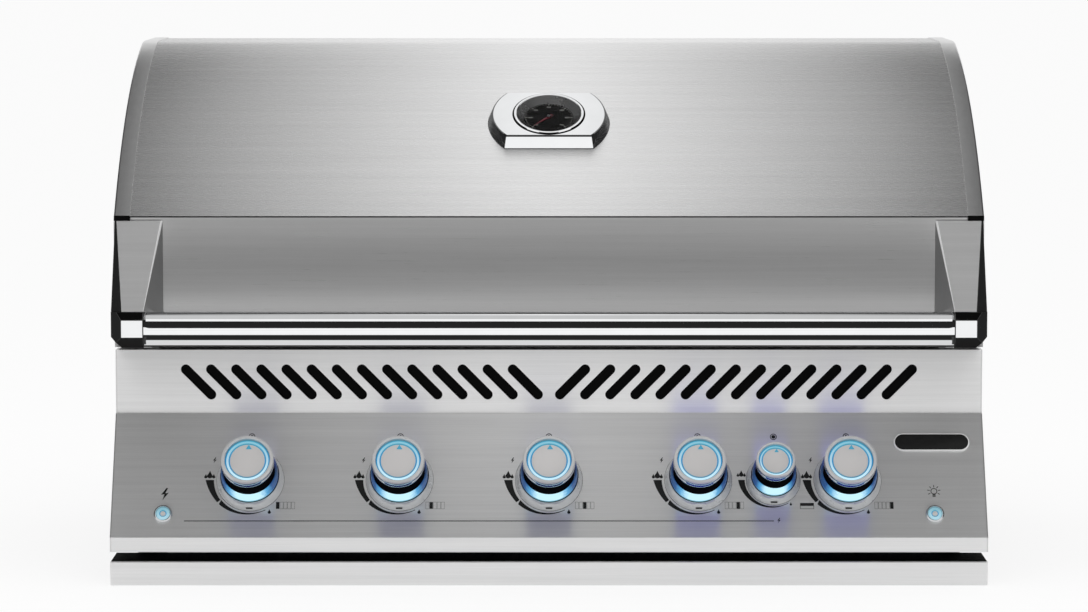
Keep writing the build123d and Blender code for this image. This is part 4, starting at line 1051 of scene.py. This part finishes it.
def crescent(bm, inner, thick, thin, start, end, steps=36):
    """A band round the knob that tapers from thick to thin."""
    first = [(r * cos(start), r * sin(start), 0) for r in (inner, inner + thick)]
    verts, edges = chain(bm, first)
    before = set(bm.verts) - set(verts)
    bmesh.ops.spin(
        bm, geom=verts + edges, axis=(0, 0, 1), cent=(0, 0, 0), angle=end - start, steps=steps,
        use_merge=False,
    )
    for vert in set(bm.verts) - before:
        radius = vert.co.xy.length / MM
        if radius > inner + thick / 2:
            turn = (atan2(vert.co.y, vert.co.x) - start) % (2 * pi)
            share = min(1.0, turn / (end - start))
            wanted = inner + thin + (thick - thin) * (1 - share) ** 1.5
            vert.co.xy = vert.co.xy * (wanted / radius)


def loop_sign(bm, radius, width, place):
    """A thin ring."""
    points = arc_points(place, radius, 0, 2 * pi, 24)[:-1]
    hole = arc_points(place, radius - width, 0, 2 * pi, 24)[:-1]
    rims = [chain(bm, [(x, y, 0) for x, y in line], closed=True)[1] for line in (points, hole)]
    bmesh.ops.bridge_loops(bm, edges=rims[0] + rims[1])


def flames(bm, size, place):
    """A tall flame between two small ones. A small sign is one flame."""
    tongue = [
        (0, -0.42), (0.24, -0.34), (0.33, -0.12), (0.18, 0.14), (0.02, 0.5), (-0.14, 0.16),
        (-0.3, -0.06), (-0.24, -0.32),
    ]
    for shift, scale in ((0, 1.0), (-0.44, 0.58), (0.44, 0.58)):
        points = [((x * scale + shift) * size, (y * scale - 0.42 * (1 - scale)) * size) for x, y in tongue]
        flat_face(bm, points, place)
        if size < 7:
            break


def bolt(bm, size, place):
    """A lightning sign."""
    shape = [
        (0.12, 0.5), (-0.28, -0.06), (-0.03, -0.02), (-0.16, -0.5), (0.28, 0.1), (0.03, 0.06), (0.22, 0.46),
    ]
    flat_face(bm, [(x * size, y * size) for x, y in shape], place)


def frame_sign(bm, low, high, width=0.45):
    """The outline of a small box."""
    (x0, y0), (x1, y1) = low, high
    bars = (
        ((x0, y0), (x1, y0 + width)), ((x0, y1 - width), (x1, y1)),
        ((x0, y0), (x0 + width, y1)), ((x1 - width, y0), (x1, y1)),
    )
    for corners in bars:
        flat_face(bm, rectangle(*corners))


def sign_piece(name, bm, place):
    """Gives flat signs a hair of thickness and puts them on the panel."""
    bmesh.ops.recalc_face_normals(bm, faces=bm.faces)
    for face in bm.faces:
        if face.normal.z < 0:
            face.normal_flip()
    bmesh.ops.translate(bm, vec=(0, 0, 0.1 * MM), verts=bm.verts)
    bmesh.ops.solidify(bm, geom=bm.faces, thickness=0.06 * MM)
    return piece(name, bm, "grill_body", print_black, place)


# %% Signs round the knobs
def large_signs(number):
    """The signs of one burner knob."""
    bm = bmesh.new()
    break_angle, half_break, off_sign = radians(217), radians(0.4), (0, 52.6)
    crescent(bm, 40.3, 9.3, 4.6, radians(180), break_angle - half_break, steps=14)
    crescent(bm, 39.6, 5.4, 0.7, break_angle + half_break, radians(296), steps=26)
    flames(bm, 10.0, (-45.2, 6.0))
    flames(bm, 6.0, (21.8, -38.0))
    bolt(bm, 7.0, (-40.3, 23.7))
    loop_sign(bm, 3.6, 0.9, off_sign)
    loop_sign(bm, 1.6, 1.5, off_sign)
    cell, height, gap, left, low = 3.8, 8.2, 0.45, 29.0, -34.6
    for n in range(5):
        x = left + n * (cell + gap)
        if n == number - 1:
            flat_face(bm, rectangle((x, low), (x + cell, low + height)))
        else:
            frame_sign(bm, (x, low), (x + cell, low + height), 0.24)
    return bm


def small_signs():
    """The signs of the rear burner's knob."""
    bm = bmesh.new()
    off_sign = (1.3, 52.0)
    crescent(bm, 31.6, 7.2, 0.6, radians(180), radians(300))
    flames(bm, 8.4, (-35.4, 7.4))
    flames(bm, 4.2, (18.6, -28.9))
    loop_sign(bm, 3.8, 0.9, off_sign)
    loop_sign(bm, 2.2, 2.1, off_sign)
    left, right, middle = 28.8, 44.0, -30.6
    flat_face(bm, rectangle((left, middle), (right, -27.6)))
    frame_sign(bm, (left, -34.7), (right, middle))
    return bm


for number in range(1, 6):
    sign_piece(f"signs_{number}", large_signs(number), knob_stands[str(number)])
sign_piece("signs_rear", small_signs(), knob_stands["rear"])


# %% Signs of the buttons and the long line
def bulb_sign():
    """A lamp with rays."""
    bm = bmesh.new()
    loop_sign(bm, 3.7, 0.8, (0, 0.9))
    for low in (-3.4, -4.6, -5.8):
        flat_face(bm, rectangle((-1.7, low), (1.7, low + 0.8)))
    for n in range(7):
        angle = radians(-30 + 40 * n)
        outward, square = Vector((cos(angle), sin(angle))), Vector((-sin(angle), cos(angle))) * 0.4
        inner, outer = (outward * reach + Vector((0, 0.9)) for reach in (4.7, 7.3))
        flat_face(bm, [inner - square, outer - square, outer + square, inner + square])
    return bm


def line_sign():
    """The long line under the knobs, with a small bolt at its end."""
    bm = bmesh.new()
    flat_face(bm, rectangle((-401.7, -0.5), (247.6, 0.5)))
    bolt(bm, 6.4, (253.1, 0.7))
    return bm


big_bolt = bmesh.new()
bolt(big_bolt, 15.0, (0, 0))
sign_piece("sign_ignition", big_bolt, on_panel(-424, 52.0))
sign_piece("sign_lamp", bulb_sign(), on_panel(425, 54.4))
sign_piece("sign_line", line_sign(), on_panel(0, 19.8))

# %% [markdown]
# ## The studio
# A bright metal has no look of its own. It shows the room. So the room is white, and flat cards hang in it
# that only reflections see. A card overhead fades from white in the middle to grey at the sides, and the lid
# shows that fade as its bright middle and darker ends. A narrow dark canopy hangs before it, and a dark card
# stands far out on each side. Small cards close to the handle give the bar its bands of black and white, and
# one below the knobs and one before the band above them give each knob its violet gleams. All of them are
# part of this studio and not of the grill: they stay where they are when a joint moves, and in another room
# the same metal shows that room.


# %% A card
def even(tone):
    """The same tone from the middle to the ends."""
    return (0.0, tone), (1.0, tone)


def card(name, low, high, *stops, strength=1.0):
    """A flat card between two corners. Its stops give its tone by the distance from the middle plane."""
    low, high = Vector(low), Vector(high)
    side = Vector((high.x - low.x, 0, 0)) if low.x != high.x else Vector((0, high.y - low.y, 0))
    bm = bmesh.new()
    bm.faces.new([bm.verts.new(corner) for corner in (low, low + side, high, high - side)])
    finish = bpy.data.materials.new(name)
    finish.use_nodes = True
    tree = finish.node_tree
    tree.nodes.remove(tree.nodes["Principled BSDF"])
    x = add(tree, "SeparateXYZ", {0: add(tree, "TexCoord").outputs["Object"]}).outputs["X"]
    away = add(tree, "Math", {0: x}, operation="ABSOLUTE").outputs[0]
    glow = add(tree, "Emission", {"Color": shades(tree, away, *stops), "Strength": strength})
    tree.links.new(glow.outputs[0], tree.nodes["Material Output"].inputs["Surface"])
    made = scene_object(name, bm, finish)
    made.visible_camera = False
    made.visible_diffuse = False
    made.visible_shadow = False
    made.visible_transmission = False


# %% Large cards
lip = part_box("fascia")[0].y
black, dark, white = even(grey(0.004)), even(grey(0.02)), even(grey(1.0))
fade = (0.0, grey(0.97)), (0.585, grey(0.36)), (0.69, grey(0.15)), (0.8, grey(0.15)), (1.0, grey(0.12))
card("card_canopy", (-1.1, lip - 3.2, 1.2), (1.1, lip - 0.9, 2.4), *black)
card("card_ceiling", (-3.0, lip - 0.9, 2.4), (3.0, lip + 3.8, 2.4), *fade)
for x, name in ((-2.4, "left"), (2.4, "right")):
    card(f"card_{name}", (x, lip - 1.2, 0.0), (x, lip + 5.0, 3.0), *dark)

# %% Cards near the handle
under, over = 0.2558, 0.3065
below = (0.0, grey(0.5)), (0.27, grey(0.24)), (0.47, grey(0.06)), (1.0, grey(0.06))
flat_cards = (
    ("under_bar", 0.447, -0.0466, -0.0155, under, dark),
    ("light", 0.46, -0.0155, 0.008, under - 0.0002, even(grey(0.75))),
    ("gap", 0.46, 0.008, 0.060, under - 0.0002, black),
    ("front", 0.48, -0.150, -0.0466, under + 0.0002, white),
    ("below", 0.48, -0.150, 0.076, under - 0.0013, below),
    ("over_bar", 0.447, -0.125, -0.0196, over, dark),
    ("top_of_bar", 0.441, -0.0194, -0.0125, over, white),
    ("bar_crown", 0.441, -0.0124, -0.003, over, even(grey(0.6))),
)
for name, half, near, far, height, tone in flat_cards:
    card(f"card_{name}", (-half, lip + near, height), (half, lip + far, height), *tone)
card("card_bar_back", (-0.44, lip + 0.0255, 0.272), (0.44, lip + 0.0255, 0.302), *white, strength=0.9)
for side in (-1, 1):
    ends = (side * 0.441, lip - 0.030, 0.2585), (side * 0.484, lip, 0.2585)
    card(f"card_block_{side}", *ends, *even(grey(0.05)))

# %% Cards round the knobs
for key, stand in knob_stands.items():
    half, reach = knob_radii[key] * 0.86, -knob_radii[key] - 5
    low, high = stand @ (Vector((-half, reach, 10)) * MM), stand @ (Vector((half, reach, 72)) * MM)
    on_left = key in "123"
    card(f"card_streak_{key}", low, high, *even((0.006, 0.006, 0.13 if on_left else 0.3)))
    haze = (0.5, 0.5, 0.62) if on_left else (0.36, 0.36, 0.85)
    card(f"card_haze_{key}", (low.x, lip + 0.025, 0.146), (high.x, lip + 0.025, 0.182), *even(haze))

# %% Floor, world and lamp
def stage_tree(made):
    """Adds the test for a ray that sees the backdrop itself: from the camera, a mirror or glass."""
    tree = made.node_tree
    path = add(tree, "LightPath").outputs
    either = add(tree, "Math", {0: path["Is Camera Ray"], 1: path["Is Glossy Ray"]}, operation="MAXIMUM")
    return tree, add(
        tree, "Math", {0: either.outputs[0], 1: path["Is Transmission Ray"]}, operation="MAXIMUM"
    ).outputs[0]


floor_paint, _, floor_shader = blank_finish(
    "floor_paint", Roughness=0.9, Base_Color=(0.95, 0.95, 0.95, 1), Specular_IOR_Level=0.0
)
tree, sees = stage_tree(floor_paint)
shine = add(tree, "Emission", {"Strength": 1.0})
share = add(tree, "Math", {0: sees, 1: 0.8}, operation="MULTIPLY").outputs[0]
mixed = add(tree, "MixShader", {0: share, 1: floor_shader.outputs[0], 2: shine.outputs[0]})
tree.links.new(mixed.outputs[0], tree.nodes["Material Output"].inputs["Surface"])
floor_bm = bmesh.new()
bmesh.ops.create_grid(floor_bm, x_segments=1, y_segments=1, size=60.0)
scene_object("floor", floor_bm, floor_paint)

world = bpy.data.worlds.new("studio")
bpy.context.scene.world = world
world.use_nodes = True
tree, sees = stage_tree(world)
light_level = 0.85
strength = add(tree, "MapRange", {"Value": sees, "To Min": light_level, "To Max": 1.0})
tree.links.new(strength.outputs["Result"], tree.nodes["Background"].inputs["Strength"])
tree.nodes["Background"].inputs["Color"].default_value = (1, 1, 1, 1)

lamp_data = bpy.data.lights.new("soft_lamp", "AREA")
lamp_data.shape = "RECTANGLE"
lamp_data.size = 2.4
lamp_data.size_y = 1.6
lamp_data.energy = 18
lamp = bpy.data.objects.new("soft_lamp", lamp_data)
lamp.location = (0, lip - 0.9, 2.6)
lamp.rotation_euler = (radians(20), 0, 0)
lamp.visible_glossy = False
bpy.context.scene.collection.objects.link(lamp)

# %% [markdown]
# ## The camera
# The photograph was taken from far off with a long lens, a little above the grill and looking slightly
# down. The lens length and the tilt were fitted to the widths of the grill at many heights.

# %% Camera
camera_back, camera_height, camera_aside, looking_down = 4.454, 0.7385, -0.0055, 5.5
camera_data = bpy.data.cameras.new("camera")
camera_data.sensor_width = 36
camera_data.lens = 135.53
camera_data.clip_end = 200
camera = bpy.data.objects.new("camera", camera_data)
camera.location = (camera_aside, lip - camera_back, camera_height)
camera.rotation_euler = (radians(90 - looking_down), 0, 0)
bpy.context.scene.collection.objects.link(camera)
bpy.context.scene.camera = camera
bpy.context.scene.view_settings.view_transform = "Standard"

# %% Final update of the scene
bpy.context.view_layer.update()
